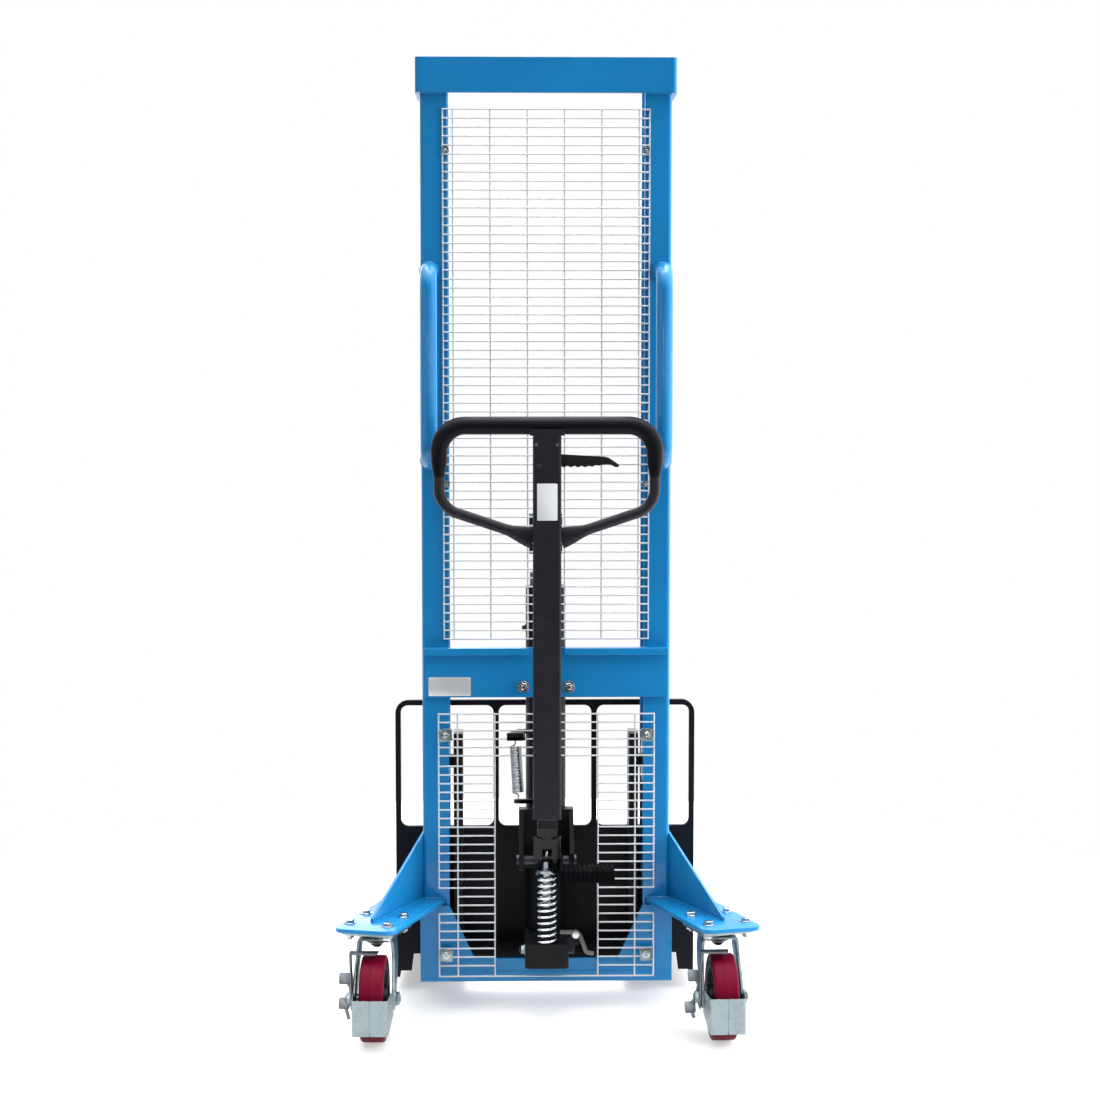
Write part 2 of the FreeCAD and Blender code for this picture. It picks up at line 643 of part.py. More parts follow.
def caster_guard(name, side):
    """A bent sheet behind the wheel, with flaps that hang on the axle."""
    body = loose_body("guard_" + name)
    half = S.guard_width / 2
    inner = half - S.guard_sheet
    flap_end = S.axle_boss - S.trail
    rear = 0 - guard_reach
    outline = [(0 - half, flap_end), (0 - half, rear), (half, rear), (half, flap_end), (inner, flap_end),
               (inner, rear + S.guard_sheet), (0 - inner, rear + S.guard_sheet), (0 - inner, flap_end)]
    pad(body, "XY", S.guard_low, S.guard_high, outline)
    flap_low = S.wheel_radius - S.axle_boss
    pocket(body, "YZ", 0 - half, half,
           [(rear + S.axle_boss, S.guard_low), (flap_end, S.guard_low), (flap_end, flap_low)])
    pocket(body, "YZ", 0 - half, half, circles=[(0 - S.trail, S.wheel_radius, S.axle_radius)])
    group("caster_guard_" + name, [body], swivel_spot(side), S.caster_turn * side)


def caster_brake(name, side):
    """A foot lever on the axle with two tabs, and the shoe that it carries over the tread."""
    body = loose_body("brake_" + name)
    axle_y = 0 - S.trail
    boss = S.axle_boss
    near = 0 - fork_half - S.side_play
    far = near - S.brake_sheet
    shoe_low = S.wheel_radius * 2 + S.shoe_gap
    shoe_high = shoe_low + S.brake_sheet
    shoe_front = axle_y - boss / 2
    shoe_rear = shoe_front - S.shoe_wide
    blade = [(axle_y + boss / 2, S.wheel_radius - boss), (axle_y + boss, S.wheel_radius),
             (axle_y + boss / 2, S.wheel_radius + S.brake_rise), (shoe_front, shoe_high),
             (shoe_rear, shoe_high), (axle_y - boss, S.wheel_radius),
             (axle_y - boss / 2, S.wheel_radius - boss)]
    pad(body, "YZ", far, near, blade)
    pocket(body, "YZ", far, near, circles=[(axle_y, S.wheel_radius, S.axle_radius + S.run_fit)])
    pad(body, "XY", shoe_low, shoe_high, rectangle(near, near + S.shoe_reach, shoe_rear, shoe_front))
    tab_far = far - S.brake_tab
    for height in (S.wheel_radius + S.brake_rise, S.wheel_radius - boss / 2 - S.brake_sheet):
        pad(body, "XY", height - S.brake_sheet, height,
            rectangle(tab_far, far, axle_y - S.brake_tab_wide / 2, axle_y + boss / 2))
    group("caster_brake_" + name, [body], swivel_spot(side), S.caster_turn * side)


def bow_handles():
    solids = []
    for side in SIDES.values():
        across = bow_x * side
        points = [vector(across, 0, S.bow_low), vector(across, 0 - S.bow_reach, S.bow_low),
                  vector(across, 0 - S.bow_reach, S.bow_high), vector(across, 0, S.bow_high)]
        solids.append(swept(bent_route(points, [S.bow_bend.value] * 2), S.bow_radius.value))
    formed("bow_handles", Part.makeCompound(solids))


def panel(left, right, low, high, rear):
    """A flat face in the XZ plane."""
    corners = [FreeCAD.Vector(left, rear, low), FreeCAD.Vector(right, rear, low),
               FreeCAD.Vector(right, rear, high), FreeCAD.Vector(left, rear, high)]
    return Part.makePolygon(corners + corners[:1])


def net(columns, rows, rear, skip=()):
    """One holed face between wires, thickened to a welded net."""
    half = S.wire.value / 2
    outer = panel(columns[0] - half, columns[-1] + half, rows[0] - half, rows[-1] + half, rear)
    holes = []
    for column in range(len(columns) - 1):
        for row in range(len(rows) - 1):
            if (column, row) in skip:
                continue
            holes.append(panel(columns[column] + half, columns[column + 1] - half,
                               rows[row] + half, rows[row + 1] - half, rear))
    face = Part.makeFace([outer] + holes, "Part::FaceMakerBullseye")
    return face.extrude(FreeCAD.Vector(0, S.net_thick.value, 0))


def spaced(low, high, count):
    return [low + (high - low) * index / count for index in range(count + 1)]


UPPER_ROWS = 30
LOWER_BAND_ROWS = 3
LOWER_SIDE_ROWS = 12
NOTCH_ROW = 3
NOTCH_ROWS = 2


def upper_guard():
    half = upper_half.value - S.wire.value / 2
    inner = half - S.upper_edge.value
    columns = [-half] + spaced(-inner, inner, 5) + [half]
    low = S.upper_low.value + S.wire.value / 2
    high = upper_high.value - S.wire.value / 2
    formed("upper_guard", net(columns, spaced(low, high, UPPER_ROWS), -S.net_thick.value))


def lower_guard():
    """A band over the pump, two side nets notched for the outriggers, and the wire below."""
    half = lower_half.value - S.wire.value / 2
    inner = half - S.lower_edge.value
    gap = S.cut_half.value + S.wire.value / 2
    low = S.lower_low.value + S.wire.value
    high = S.lower_high.value - S.wire.value / 2
    cut = S.cut_high.value
    rear = net_rear.value
    bottom = low + S.wire.value / 2
    band_rows = spaced(cut + S.wire.value / 2, high, LOWER_BAND_ROWS)
    band = net([-half, -inner, -gap, gap, inner, half], band_rows, rear)
    rows = spaced(bottom, cut - S.wire.value / 2, LOWER_SIDE_ROWS)
    notch_low = (rows[NOTCH_ROW] + rows[NOTCH_ROW + 1]) / 2
    notch_high = rows[NOTCH_ROW + NOTCH_ROWS] - S.wire.value / 2
    solids = [band]
    for side in SIDES.values():
        columns = sorted([half * side, inner * side, gap * side])
        outer_column = 1 if side > 0 else 0
        skip = [(outer_column, NOTCH_ROW + row) for row in range(NOTCH_ROWS)]
        side_net = net(columns, rows, rear, skip)
        wide = S.lower_edge.value + S.wire.value
        start = inner + S.wire.value / 2 if side > 0 else -inner - S.wire.value / 2 - wide
        notch = Part.makeBox(wide, S.net_thick.value, notch_high - notch_low,
                             FreeCAD.Vector(start, rear, notch_low))
        solids.append(side_net.cut(notch))
    wire_bar = Part.makeBox(2 * lower_half.value, S.net_thick.value, S.wire.value,
                            FreeCAD.Vector(-lower_half.value, rear, S.lower_low.value))
    solids.append(wire_bar)
    formed("lower_guard", Part.makeCompound(solids))


def guard_clamps():
    members = []
    for name, side in SIDES.items():
        for place, height in (("upper", S.tab_high), ("lower", S.tab_low)):
            body = loose_body("clamp_%s_%s" % (place, name))
            middle = tab_x * side
            plate_rear = net_rear - S.clamp_thick
            pad(body, "XZ", plate_rear, net_rear,
                square(middle, height, S.clamp_half))
            pad(body, "XZ", plate_rear - S.clamp_head, plate_rear, circles=[(middle, height, S.clamp_bolt)])
            members.append(body)
        for place, height in (("high", clip_upper), ("low", S.clip_lower)):
            body = loose_body("clip_%s_%s" % (place, name))
            middle = clip_x * side
            plate_rear = 0 - S.net_thick - S.clamp_thick
            pad(body, "XZ", plate_rear, 0 - S.net_thick,
                square(middle, height, S.clip_half))
            members.append(body)
    group("guard_clamps", members)


def lift_cylinder():
    centre = (0, frame_shift + S.cylinder_y, 0)
    barrel = ring(S.cylinder_bore, S.cylinder_radius, S.cylinder_foot, S.cylinder_high)
    turned(new_body("lift_cylinder"), barrel, centre, "Z")
    bore = S.rod_radius + S.run_fit
    spigot_low = S.cylinder_high - S.gland_spigot
    gland = [(bore, spigot_low), (S.cylinder_bore, spigot_low), (S.cylinder_bore, S.cylinder_high),
             (S.gland_radius, S.cylinder_high), (S.gland_radius, S.gland_high), (bore, S.gland_high)]
    turned(new_body("cylinder_gland"), gland, centre, "Z")


def lift_rod():
    foot = S.cylinder_foot + S.rod_lift
    piston = S.cylinder_bore - S.run_fit
    piston_high = foot + S.piston_tall
    profile = [(0, foot), (piston, foot), (piston, piston_high), (S.rod_radius, piston_high),
               (S.rod_radius, S.rod_high), (0, S.rod_high)]
    turned(new_body("lift_rod"), profile, (0, frame_shift + S.cylinder_y, 0), "Z")


def chain_head():
    """The fork on the rod that carries the chain pulley and its pin."""
    body = new_body("chain_head")
    near = S.cylinder_y - S.head_deep
    far = S.cylinder_y + S.head_deep
    seat = S.rod_high + S.head_sheet
    inner = S.head_half - S.head_sheet
    pad(body, "XY", S.rod_high, seat, rectangle(0 - S.head_half, S.head_half, near, far))
    top = pulley_z + S.head_deep / 2
    cheek = rectangle(near, far, seat, top)
    pad(body, "YZ", inner, S.head_half, cheek)
    pad(body, "YZ", 0 - S.head_half, 0 - inner, cheek)
    round_corners(body, "YZ", [(near, top), (far, top)], S.head_deep / 2)
    pad(body, "YZ", 0 - inner, inner, circles=[(pulley_y, pulley_z, S.pulley_pin)])


def chain_pulley():
    half = S.pulley_width / 2
    groove = S.chain_half + S.side_play
    lip = groove + S.flange_width
    bore = S.pulley_pin + S.run_fit
    hub = S.pulley_pin * 2
    profile = [(bore, 0 - half), (hub, 0 - half), (hub, 0 - lip), (S.pulley_flange, 0 - lip),
               (S.pulley_flange, 0 - groove), (S.pulley_groove, 0 - groove), (S.pulley_groove, groove),
               (S.pulley_flange, groove), (S.pulley_flange, lip), (hub, lip), (hub, half), (bore, half)]
    turned(new_body("chain_pulley"), profile, (0, frame_shift + pulley_y, pulley_z), "X")


def lift_chain():
    half_thick = S.chain_thick / 2
    for label, middle, low in (("chain_fixed", pulley_y - pulley_reach, S.beam_high),
                               ("chain_free", pulley_y + pulley_reach, S.chain_free_low)):
        pad(new_body(label), "XY", low, pulley_z,
            rectangle(0 - S.chain_half, S.chain_half, middle - half_thick, middle + half_thick))
    wrap = new_body("chain_wrap")
    outer = pulley_reach + half_thick
    pad(wrap, "YZ", 0 - S.chain_half, S.chain_half,
        circles=[(pulley_y, pulley_z, outer), (pulley_y, pulley_z, pulley_reach - half_thick)])
    pocket(wrap, "YZ", 0 - S.chain_half, S.chain_half,
           rectangle(pulley_y - outer, pulley_y + outer, pulley_z - outer, pulley_z))


HEX_SIDES = 6


def hexagon(across, upward, radius):
    angles = [math.radians(360 * step / HEX_SIDES) for step in range(HEX_SIDES)]
    return [(across + radius * math.cos(angle), upward + radius * math.sin(angle)) for angle in angles]


def frame_bolts():
    members = [u_bolt()]
    plate_rear = 0 - S.beam_thick
    washer_rear = plate_rear - S.washer_thick
    for name, side in SIDES.items():
        nut = loose_body("beam_nut_" + name)
        middle = ubolt_x * side
        pad(nut, "XZ", washer_rear, plate_rear, circles=[(middle, S.ubolt_z, S.washer_radius),
                                                         (middle, S.ubolt_z, S.ubolt_radius)])
        pad(nut, "XZ", washer_rear - S.head_tall, washer_rear, hexagon(middle, S.ubolt_z, S.ubolt_nut),
            [(middle, S.ubolt_z, S.ubolt_radius)])
        members.append(nut)
        reach = S.bolt_pitch / 2
        for first in (-1, 1):
            for second in (-1, 1):
                across, back = from_swivel(side, reach * first, reach * second)
                bolt = loose_body("caster_bolt_" + name)
                pad(bolt, "XY", plate_low, S.outrigger_top, circles=[(across, back, S.bolt_radius)])
                pad(bolt, "XY", S.outrigger_top, S.outrigger_top + S.head_tall,
                    hexagon(across, back, S.bolt_head))
                pad(bolt, "XY", plate_low - S.head_tall, plate_low, hexagon(across, back, S.bolt_head))
                members.append(bolt)
    group("frame_bolts", members)


def u_bolt():
    """The bent bar that holds the lift cylinder to the cross beam."""
    across = ubolt_x.value
    tail = -(S.beam_thick + S.washer_thick + S.head_tall).value
    middle = S.cylinder_y.value
    height = S.ubolt_z.value
    left = FreeCAD.Vector(-across, tail, height)
    right = FreeCAD.Vector(across, tail, height)
    turn_left = FreeCAD.Vector(-across, middle, height)
    turn_right = FreeCAD.Vector(across, middle, height)
    crest = FreeCAD.Vector(0, middle + across, height)
    runs = [Part.LineSegment(left, turn_left), Part.Arc(turn_left, crest, turn_right),
            Part.LineSegment(turn_right, right)]
    route = Part.Wire([run.toShape() for run in runs])
    item = doc.addObject("Part::Feature", "u_bolt")
    item.Shape = swept(route, S.ubolt_radius.value)
    return item


def pump_block():
    body = new_body("pump_block")
    corners = rectangle(0 - S.block_half, S.block_half, 0 - S.block_rear, S.block_front)
    pad(body, "XY", S.floor_high, S.block_high, corners)
    round_corners(body, "XY", corners, S.block_round)
    pad(body, "XY", S.floor_high, S.floor_high + S.foot_thick,
        rectangle(0 - foot_half, foot_half, 0, S.block_front))
    pad(body, "XY", S.block_high, S.barrel_high, circles=[(0, S.pump_y, S.barrel_radius)])
    pocket(body, "XY", S.plunger_low - S.plunger_stroke - S.side_play, S.barrel_high,
           circles=[(0, S.pump_y, S.plunger_radius + S.run_fit)])
    pocket(body, "XY", S.cylinder_foot, S.block_high, circles=[(0, S.cylinder_y, S.cylinder_radius)])
    for side in (-1, 1):
        low, high = ordered(S.block_half * side, (S.block_half + S.plug_reach) * side)
        pad(body, "YZ", low, high, hexagon(S.plug_y, S.plug_z, S.plug_radius))
    ear_rear = S.release_y + S.release_thick / 2 + S.side_play
    ear_root = S.block_half - S.block_round
    ear_end = S.release_x + S.release_wide
    ear = [(ear_root, S.plug_z), (ear_end, S.block_high), (ear_end, S.release_z),
           (S.release_x, S.release_z + S.release_wide), (S.release_x - S.release_wide, S.release_z),
           (ear_root, S.block_high)]
    pad(body, "XZ", ear_rear, ear_rear + S.ear_thick, ear)
    pad(body, "XZ", S.release_y - S.release_thick, ear_rear,
        circles=[(S.release_x, S.release_z, S.release_pin)])


def pump_plunger():
    profile = [(0, S.plunger_low), (S.plunger_radius, S.plunger_low), (S.plunger_radius, retainer_low),
               (S.retainer_radius, retainer_low), (S.retainer_radius, retainer_high),
               (S.plunger_radius, retainer_high), (S.plunger_radius, plunger_high), (0, plunger_high)]
    turned(new_body("pump_plunger"), profile, (0, frame_shift + S.pump_y, 0), "Z")


def pivot_yoke():
    """A bracket seated on the lift cylinder, with two cheeks that hold the tiller's pin."""
    body = new_body("pivot_yoke")
    inner = S.yoke_half - S.yoke_sheet
    rear = 0 - S.yoke_rear
    web_rear = S.cylinder_y - S.cylinder_radius - S.yoke_web
    outline = [(0 - S.yoke_half, rear), (0 - inner, rear), (0 - inner, web_rear), (inner, web_rear),
               (inner, rear), (S.yoke_half, rear), (S.yoke_half, S.saddle_front),
               (0 - S.yoke_half, S.saddle_front)]
    pad(body, "XY", S.yoke_low, S.yoke_high, outline)
    pocket(body, "XY", S.yoke_low, S.yoke_high, circles=[(0, S.cylinder_y, S.cylinder_radius)])
    pocket(body, "YZ", 0 - S.yoke_half, S.yoke_half, circles=[(S.pivot_y, S.pivot_z, S.pin_radius)])
    slope = [(rear, S.yoke_high), (rear, S.pivot_z + S.boss_radius), (web_rear, S.yoke_high)]
    pocket(body, "YZ", 0 - S.yoke_half, S.yoke_half, slope)
    round_corners(body, "YZ", [(rear, S.yoke_low)], S.pin_radius)


def pivot_pin():
    half = S.yoke_half + S.pin_over
    turned(new_body("pivot_pin"), ring(0, S.pin_radius, 0 - half, half),
           (0, frame_shift + S.pivot_y, S.pivot_z), "X")


def tiller_tube():
    body = new_body("tiller_tube")
    left = 0 - S.tiller_half
    corners = rectangle(left, S.tiller_half, tiller_rear, tiller_front)
    pad(body, "XY", S.tiller_low, S.tiller_high, corners)
    round_corners(body, "XY", corners, S.tiller_round)
    over = S.head_over
    pad(body, "XY", S.tiller_high - S.head_plate, S.tiller_high,
        rectangle(left - over, S.tiller_half + over, tiller_rear, tiller_front))
    pocket(body, "YZ", left - over, S.tiller_half + over, circles=[(S.tiller_y, S.loop_top, S.grip_radius)])
    slot_half = S.lever_slot / 2
    pocket(body, "XY", S.lever_z - S.lever_room, S.lever_z + S.lever_room,
           rectangle(0, S.tiller_half, S.tiller_y - slot_half, S.tiller_y + slot_half))
    pin_half = S.lever_pin_half + S.run_fit
    pocket(body, "XZ", S.tiller_y - pin_half, S.tiller_y + pin_half,
           circles=[(S.lever_pin_x, S.lever_z, S.lever_pin + S.run_fit)])
    tab_half = S.spring_tab
    pad(body, "XY", S.tail_z - S.bracket_thick, S.tail_z,
        rectangle(S.tail_x - tab_half - tab_half / 2, left, S.tail_y - tab_half, S.tail_y + tab_half))


def tiller_rocker():
    """The casting under the tiller: two cheeks on the pivot pin and the nose that works the plunger."""
    body = new_body("tiller_rocker")
    boss = S.boss_radius
    half = S.rocker_half
    lobe = S.nose_radius * 4 / 3
    outline = [(tiller_rear, S.tiller_low), (tiller_rear, S.tiller_low - boss),
               (nose_y - lobe, nose_z - lobe / 2), (nose_y - lobe / 2, nose_z - lobe),
               (nose_y + lobe / 2, nose_z - lobe),
               (S.pivot_y - boss, S.pivot_z - boss / 2), (S.pivot_y - boss / 2, S.pivot_z - boss),
               (S.pivot_y + boss / 2, S.pivot_z - boss), (S.pivot_y + boss, S.pivot_z - boss / 2),
               (S.pivot_y + boss, S.pivot_z + boss / 2), (S.pivot_y - boss, S.pivot_z + boss * 4),
               (tiller_front, S.tiller_low)]
    pad(body, "YZ", 0 - half, half, outline)
    slot_half = S.rocker_slot / 2
    pocket(body, "XY", S.pivot_z - boss, nose_z + boss,
           rectangle(0 - slot_half, slot_half, tiller_rear, S.pivot_y + boss))
    pocket(body, "YZ", 0 - half, half, circles=[(S.pivot_y, S.pivot_z, S.pin_radius + S.run_fit)])
    pad(body, "YZ", 0 - half, half, circles=[(nose_y, nose_z, S.nose_radius)])


def foot_pedal():
    """A ribbed pad on an arm that turns with the rocker."""
    body = new_body("foot_pedal")
    arm_end = S.arm_x + S.arm_thick
    boss = S.boss_radius
    half_deep = S.pad_deep / 2
    half_thick = S.pad_thick / 2
    arm = [(S.pivot_y + boss, S.pivot_z - boss / 2), (S.pivot_y + boss, S.pivot_z + boss / 2),
           (S.pivot_y + boss / 2, S.pivot_z + boss), (S.pivot_y - boss, S.pivot_z + boss),
           (S.pad_y - half_deep, S.pad_z + half_thick), (S.pad_y - half_deep, S.pad_z - half_thick),
           (S.pivot_y - boss, S.pivot_z - boss), (S.pivot_y + boss / 2, S.pivot_z - boss)]
    pad(body, "YZ", S.rocker_half, S.arm_x, circles=[(S.pivot_y, S.pivot_z, boss)])
    pad(body, "YZ", S.arm_x, arm_end, arm)
    pocket(body, "YZ", S.rocker_half, arm_end, circles=[(S.pivot_y, S.pivot_z, S.pin_radius + S.run_fit)])
    pad(body, "YZ", arm_end, arm_end + S.pad_length,
        rectangle(S.pad_y - half_deep, S.pad_y + half_deep, S.pad_z - half_thick, S.pad_z + half_thick))
    top = S.pad_z + half_thick
    step = S.pad_length / S.groove_count
    half_groove = S.groove_wide / 2
    pad_rear = S.pad_y - half_deep
    pad_front = S.pad_y + half_deep
    for index in range(1, int(S.groove_count.value)):
        middle = arm_end + step * index
        pocket(body, "XY", top - S.groove_deep, top,
               rectangle(middle - half_groove, middle + half_groove, pad_rear, pad_front))


def loop_points():
    """Corner points of the handle loop, from one end on the tiller round to the other."""
    back = S.tiller_y
    half = S.loop_half
    return [vector(0, back, S.loop_end - (S.loop_low - S.loop_end) * S.tiller_half / (half - S.tiller_half)),
            vector(0 - half, back, S.loop_low), vector(0 - half, back, S.loop_top),
            vector(half, back, S.loop_top), vector(half, back, S.loop_low),
            vector(0, back, S.loop_end - (S.loop_low - S.loop_end) * S.tiller_half / (half - S.tiller_half))]


def handle_loop():
    bends = [S.loop_knee.value, S.loop_bend.value, S.loop_bend.value, S.loop_knee.value]
    points = loop_points()
    width = 2 * S.tiller_half.value
    tall = S.loop_top.value - S.loop_radius.value * 3 - S.tiller_low.value
    corner = vector(0 - S.tiller_half, tiller_rear, S.tiller_low)
    tiller_space = Part.makeBox(width, S.tiller_deep.value, tall, corner)
    middle = len(points) // 2
    top = (points[middle - 1] + points[middle]) / 2
    halves = [swept(bent_route(points[:middle] + [top], bends[:2]), S.loop_radius.value),
              swept(bent_route([top] + points[middle:], bends[2:]), S.loop_radius.value)]
    formed("handle_loop", halves[0].fuse(halves[1]).cut(tiller_space).removeSplitter())
    grip_points = [vector(0 - S.loop_half, S.tiller_y, S.grip_low)] + points[2:4]
    grip_points.append(vector(S.loop_half, S.tiller_y, S.grip_low))
    route = bent_route(grip_points, bends[1:3])
    sleeve = swept(route, S.grip_radius.value).cut(swept(route, S.loop_radius.value))
    formed("handle_grip", sleeve)


LEVER_STEPS = 8


def hand_lever():
    """The lowering lever under the grip, with finger waves along its lower edge."""
    body = new_body("hand_lever")
    half = S.lever_thick / 2
    low = S.lever_z - S.lever_root
    high = S.lever_z + S.lever_root
    root = S.lever_pin_x - S.lever_root
    step = (S.lever_tip - S.tiller_half) / LEVER_STEPS
    waves = [(S.tiller_half + step * index, low + S.lever_wave * (index % 2))
             for index in range(LEVER_STEPS)]
    outline = [(root, low)] + waves + [(S.lever_tip, low + S.lever_wave), (S.lever_tip, low + S.lever_nose),
                                       (S.lever_tip - step, high - S.lever_fall), (S.tiller_half, high),
                                       (root, high)]
    pad(body, "XZ", S.tiller_y - half, S.tiller_y + half, outline)
    pad(body, "XZ", S.tiller_y - S.lever_pin_half, S.tiller_y + S.lever_pin_half,
        circles=[(S.lever_pin_x, S.lever_z, S.lever_pin)])


def release_lever():
    """The bent strip on the pump that the hand lever pulls to lower the forks."""
    body = new_body("release_lever")
    half = S.release_thick / 2
    wide = S.release_wide / 2
    elbow_x = S.release_x + S.release_wide
    toe_z = S.release_z - S.release_drop
    heel_x = elbow_x + S.release_wide
    toe_x = heel_x + S.release_foot
    outline = [(S.release_x - S.release_arm, S.release_z + wide), (elbow_x, S.release_z + wide),
               (heel_x, toe_z + S.release_wide), (toe_x, toe_z + wide), (toe_x, toe_z),
               (elbow_x + wide, toe_z), (elbow_x - wide, S.release_z - wide),
               (S.release_x - S.release_arm, S.release_z - wide)]
    pad(body, "XZ", S.release_y - half, S.release_y + half, outline)
    pocket(body, "XZ", S.release_y - half, S.release_y + half,
           circles=[(S.release_x, S.release_z, S.release_pin + S.run_fit)])


def spring_bracket():
    body = new_body("spring_bracket")
    outer = S.hook_x - S.bracket_wide / 2
    inner = S.hook_x + S.bracket_wide / 2
    tail = S.hook_y - S.bracket_wide / 2
    seat = S.cylinder_y - S.cylinder_radius / 2
    wing = 0 - S.cylinder_radius / 2
    outline = [(outer, tail), (inner, tail), (inner, seat - S.bracket_wide), (wing, seat - S.bracket_wide),
               (wing, seat), (outer, seat)]
    pad(body, "XY", S.hook_z, S.hook_z + S.bracket_thick, outline)
    pocket(body, "XY", S.hook_z, S.hook_z + S.bracket_thick, circles=[(0, S.cylinder_y, S.cylinder_radius)])


def biarc(start, start_way, end, end_way):
    """Two arcs that leave and arrive along the given unit directions."""
    span = end - start
    total = start_way + end_way
    spread = 2 * (1 - start_way.dot(end_way))
    along = span.dot(total)
    reach = (math.sqrt(along * along + spread * span.dot(span)) - along) / spread
    first_knee = start + start_way * reach
    second_knee = end - end_way * reach
    joint = (first_knee + second_knee) / 2
    edges = []
    for begin, knee, finish in ((start, first_knee, joint), (joint, second_knee, end)):
        weight = math.cos((knee - begin).getAngle(finish - knee) / 2)
        crest = (begin + knee * (2 * weight) + finish) / (2 + 2 * weight)
        edges.append(Part.Arc(begin, crest, finish).toShape())
    return edges


HALVES = 2
SAMPLES = 8


def coil_edges(place, radius, low, high, turns):
    """A coil about the upright axis of a placement, in half turns, with its points and directions."""
    edges = []
    count = turns * HALVES
    climb = (high - low) / count
    slope = climb / (math.pi * radius)
    stations = []
    for index in range(count + 1):
        angle = math.pi * index
        spot = FreeCAD.Vector(radius * math.cos(angle), radius * math.sin(angle), low + climb * index)
        way = FreeCAD.Vector(-math.sin(angle), math.cos(angle), slope).normalize()
        stations.append((place.multVec(spot), place.Rotation.multVec(way)))
    for (start, start_way), (end, end_way) in zip(stations, stations[1:]):
        edges.extend(biarc(start, start_way, end, end_way))
    return edges, stations


def self_gap(edges, wire_radius):
    """Least distance between two turns of a coil, measured on points along it."""
    points = [edge.valueAt(edge.FirstParameter + (edge.LastParameter - edge.FirstParameter) * step / SAMPLES)
              for edge in edges for step in range(SAMPLES)]
    half_turn = SAMPLES * HALVES
    least = min(first.distanceToPoint(second) for index, first in enumerate(points)
                for second in points[index + half_turn:index + half_turn * SAMPLES])
    return least - 2 * wire_radius


def pump_spring():
    wire = S.pump_wire.value
    radius = S.retainer_radius.value - wire / 2
    low = S.block_high.value + wire / 2 + S.spring_seat.value
    high = retainer_low.value - wire / 2 - S.spring_seat.value
    place = FreeCAD.Placement(vector(0, S.pump_y, 0), FreeCAD.Rotation())
    edges, stations = coil_edges(place, radius, low, high, int(S.pump_turns.value))
    print("pump spring least gap %.2f mm" % self_gap(edges, wire / 2))
    first, first_way = stations[0]
    last, last_way = stations[-1]
    flat_start = Part.LineSegment(first - first_way * wire, first).toShape()
    flat_end = Part.LineSegment(last, last + last_way * wire).toShape()
    formed("pump_spring", swept(Part.Wire([flat_start] + edges + [flat_end]), wire / 2))


def return_spring():
    """A pull spring between the tiller's tab and the bracket, with ends that stand square to both."""
    wire = S.return_wire.value
    tail = vector(S.tail_x, S.tail_y, S.tail_z)
    hook = vector(S.hook_x, S.hook_y, S.hook_z)
    upright = FreeCAD.Vector(0, 0, 1)
    place = FreeCAD.Placement(tail, FreeCAD.Rotation(upright, hook - tail))
    margin = S.return_margin.value
    length = hook.distanceToPoint(tail)
    turns = int(S.return_turns.value)
    edges, stations = coil_edges(place, S.return_radius.value, margin, length - margin, turns)
    print("return spring least gap %.2f mm" % self_gap(edges, wire / 2))
    first, first_way = stations[0]
    last, last_way = stations[-1]
    foot = tail + upright * wire
    peak = hook - upright * wire
    start_run = Part.LineSegment(tail, foot).toShape()
    end_run = Part.LineSegment(peak, hook).toShape()
    lead_in = biarc(foot, upright, first, first_way)
    lead_out = biarc(last, last_way, peak, upright)
    formed("return_spring", swept(Part.Wire([start_run] + lead_in + edges + lead_out + [end_run]), wire / 2))


def carriage_plate():
    body = new_body("carriage_plate")
    half = carriage_half
    pad(body, "XZ", carriage_y, carriage_front, rectangle(0 - half, half, heel_top, S.carriage_high))
    chain_y = pulley_y + pulley_reach - S.chain_thick / 2
    pad(body, "XY", S.chain_free_low - S.hanger_tall, S.chain_free_low,
        rectangle(0 - S.anchor_half, S.anchor_half, chain_y, carriage_y))


def carriage_side(name, side):
    """An upright plate inside the mast with two welded stub pins for the mast rollers."""
    body = new_body("carriage_side_" + name)
    low, high = ordered(side_inner * side, side_outer * side)
    rear = S.side_rear
    outline = [(rear, S.side_low), (carriage_y, S.side_low), (carriage_y, S.carriage_high),
               (S.channel_depth - rear, S.carriage_high + S.roller_radius),
               (S.channel_depth - rear, S.side_high), (rear, S.side_high)]
    pad(body, "YZ", low, high, outline)
    pin_start = side_outer * side
    pin_end = (mast_half - S.channel_web - S.roller_inset * 2) * side
    low, high = ordered(pin_start, pin_end)
    for height in (S.roller_upper, S.roller_lower):
        pad(body, "YZ", low, high, circles=[(roller_y, height, S.roller_pin)])


def mast_roller(label, side, height):
    half = S.roller_width / 2
    bore = S.roller_pin + S.run_fit
    edge = half - S.channel_toe
    rim = S.roller_radius - S.channel_toe
    profile = [(bore, 0 - half), (rim, 0 - half), (S.roller_radius, 0 - edge), (S.roller_radius, edge),
               (rim, half), (bore, half)]
    middle = (flange_tip + S.roller_inset + half) * side
    turned(new_body(label), profile, (middle, frame_shift + roller_y, height), "X")


def backrest():
    """A frame of flat bars on the carriage plate, with three rounded windows."""
    body = new_body("backrest")
    half = carriage_half
    low = S.carriage_high
    high = S.backrest_high
    rear = carriage_y
    front = carriage_front
    bar = S.bar_wide
    pad(body, "XZ", rear, front, rectangle(0 - half, half, low, high))
    round_corners(body, "XZ", [(0 - half, high), (half, high)], S.backrest_round)
    centres = (0 - half + bar, 0 - S.inner_bar - bar / 2, 0 - S.inner_bar + bar / 2, S.inner_bar - bar / 2,
               S.inner_bar + bar / 2, half - bar)
    for index in range(0, len(centres), 2):
        window = rectangle(centres[index], centres[index + 1], low + bar, high - bar)
        pocket(body, "XZ", rear, front, window)
        round_corners(body, "XZ", window, S.window_round)


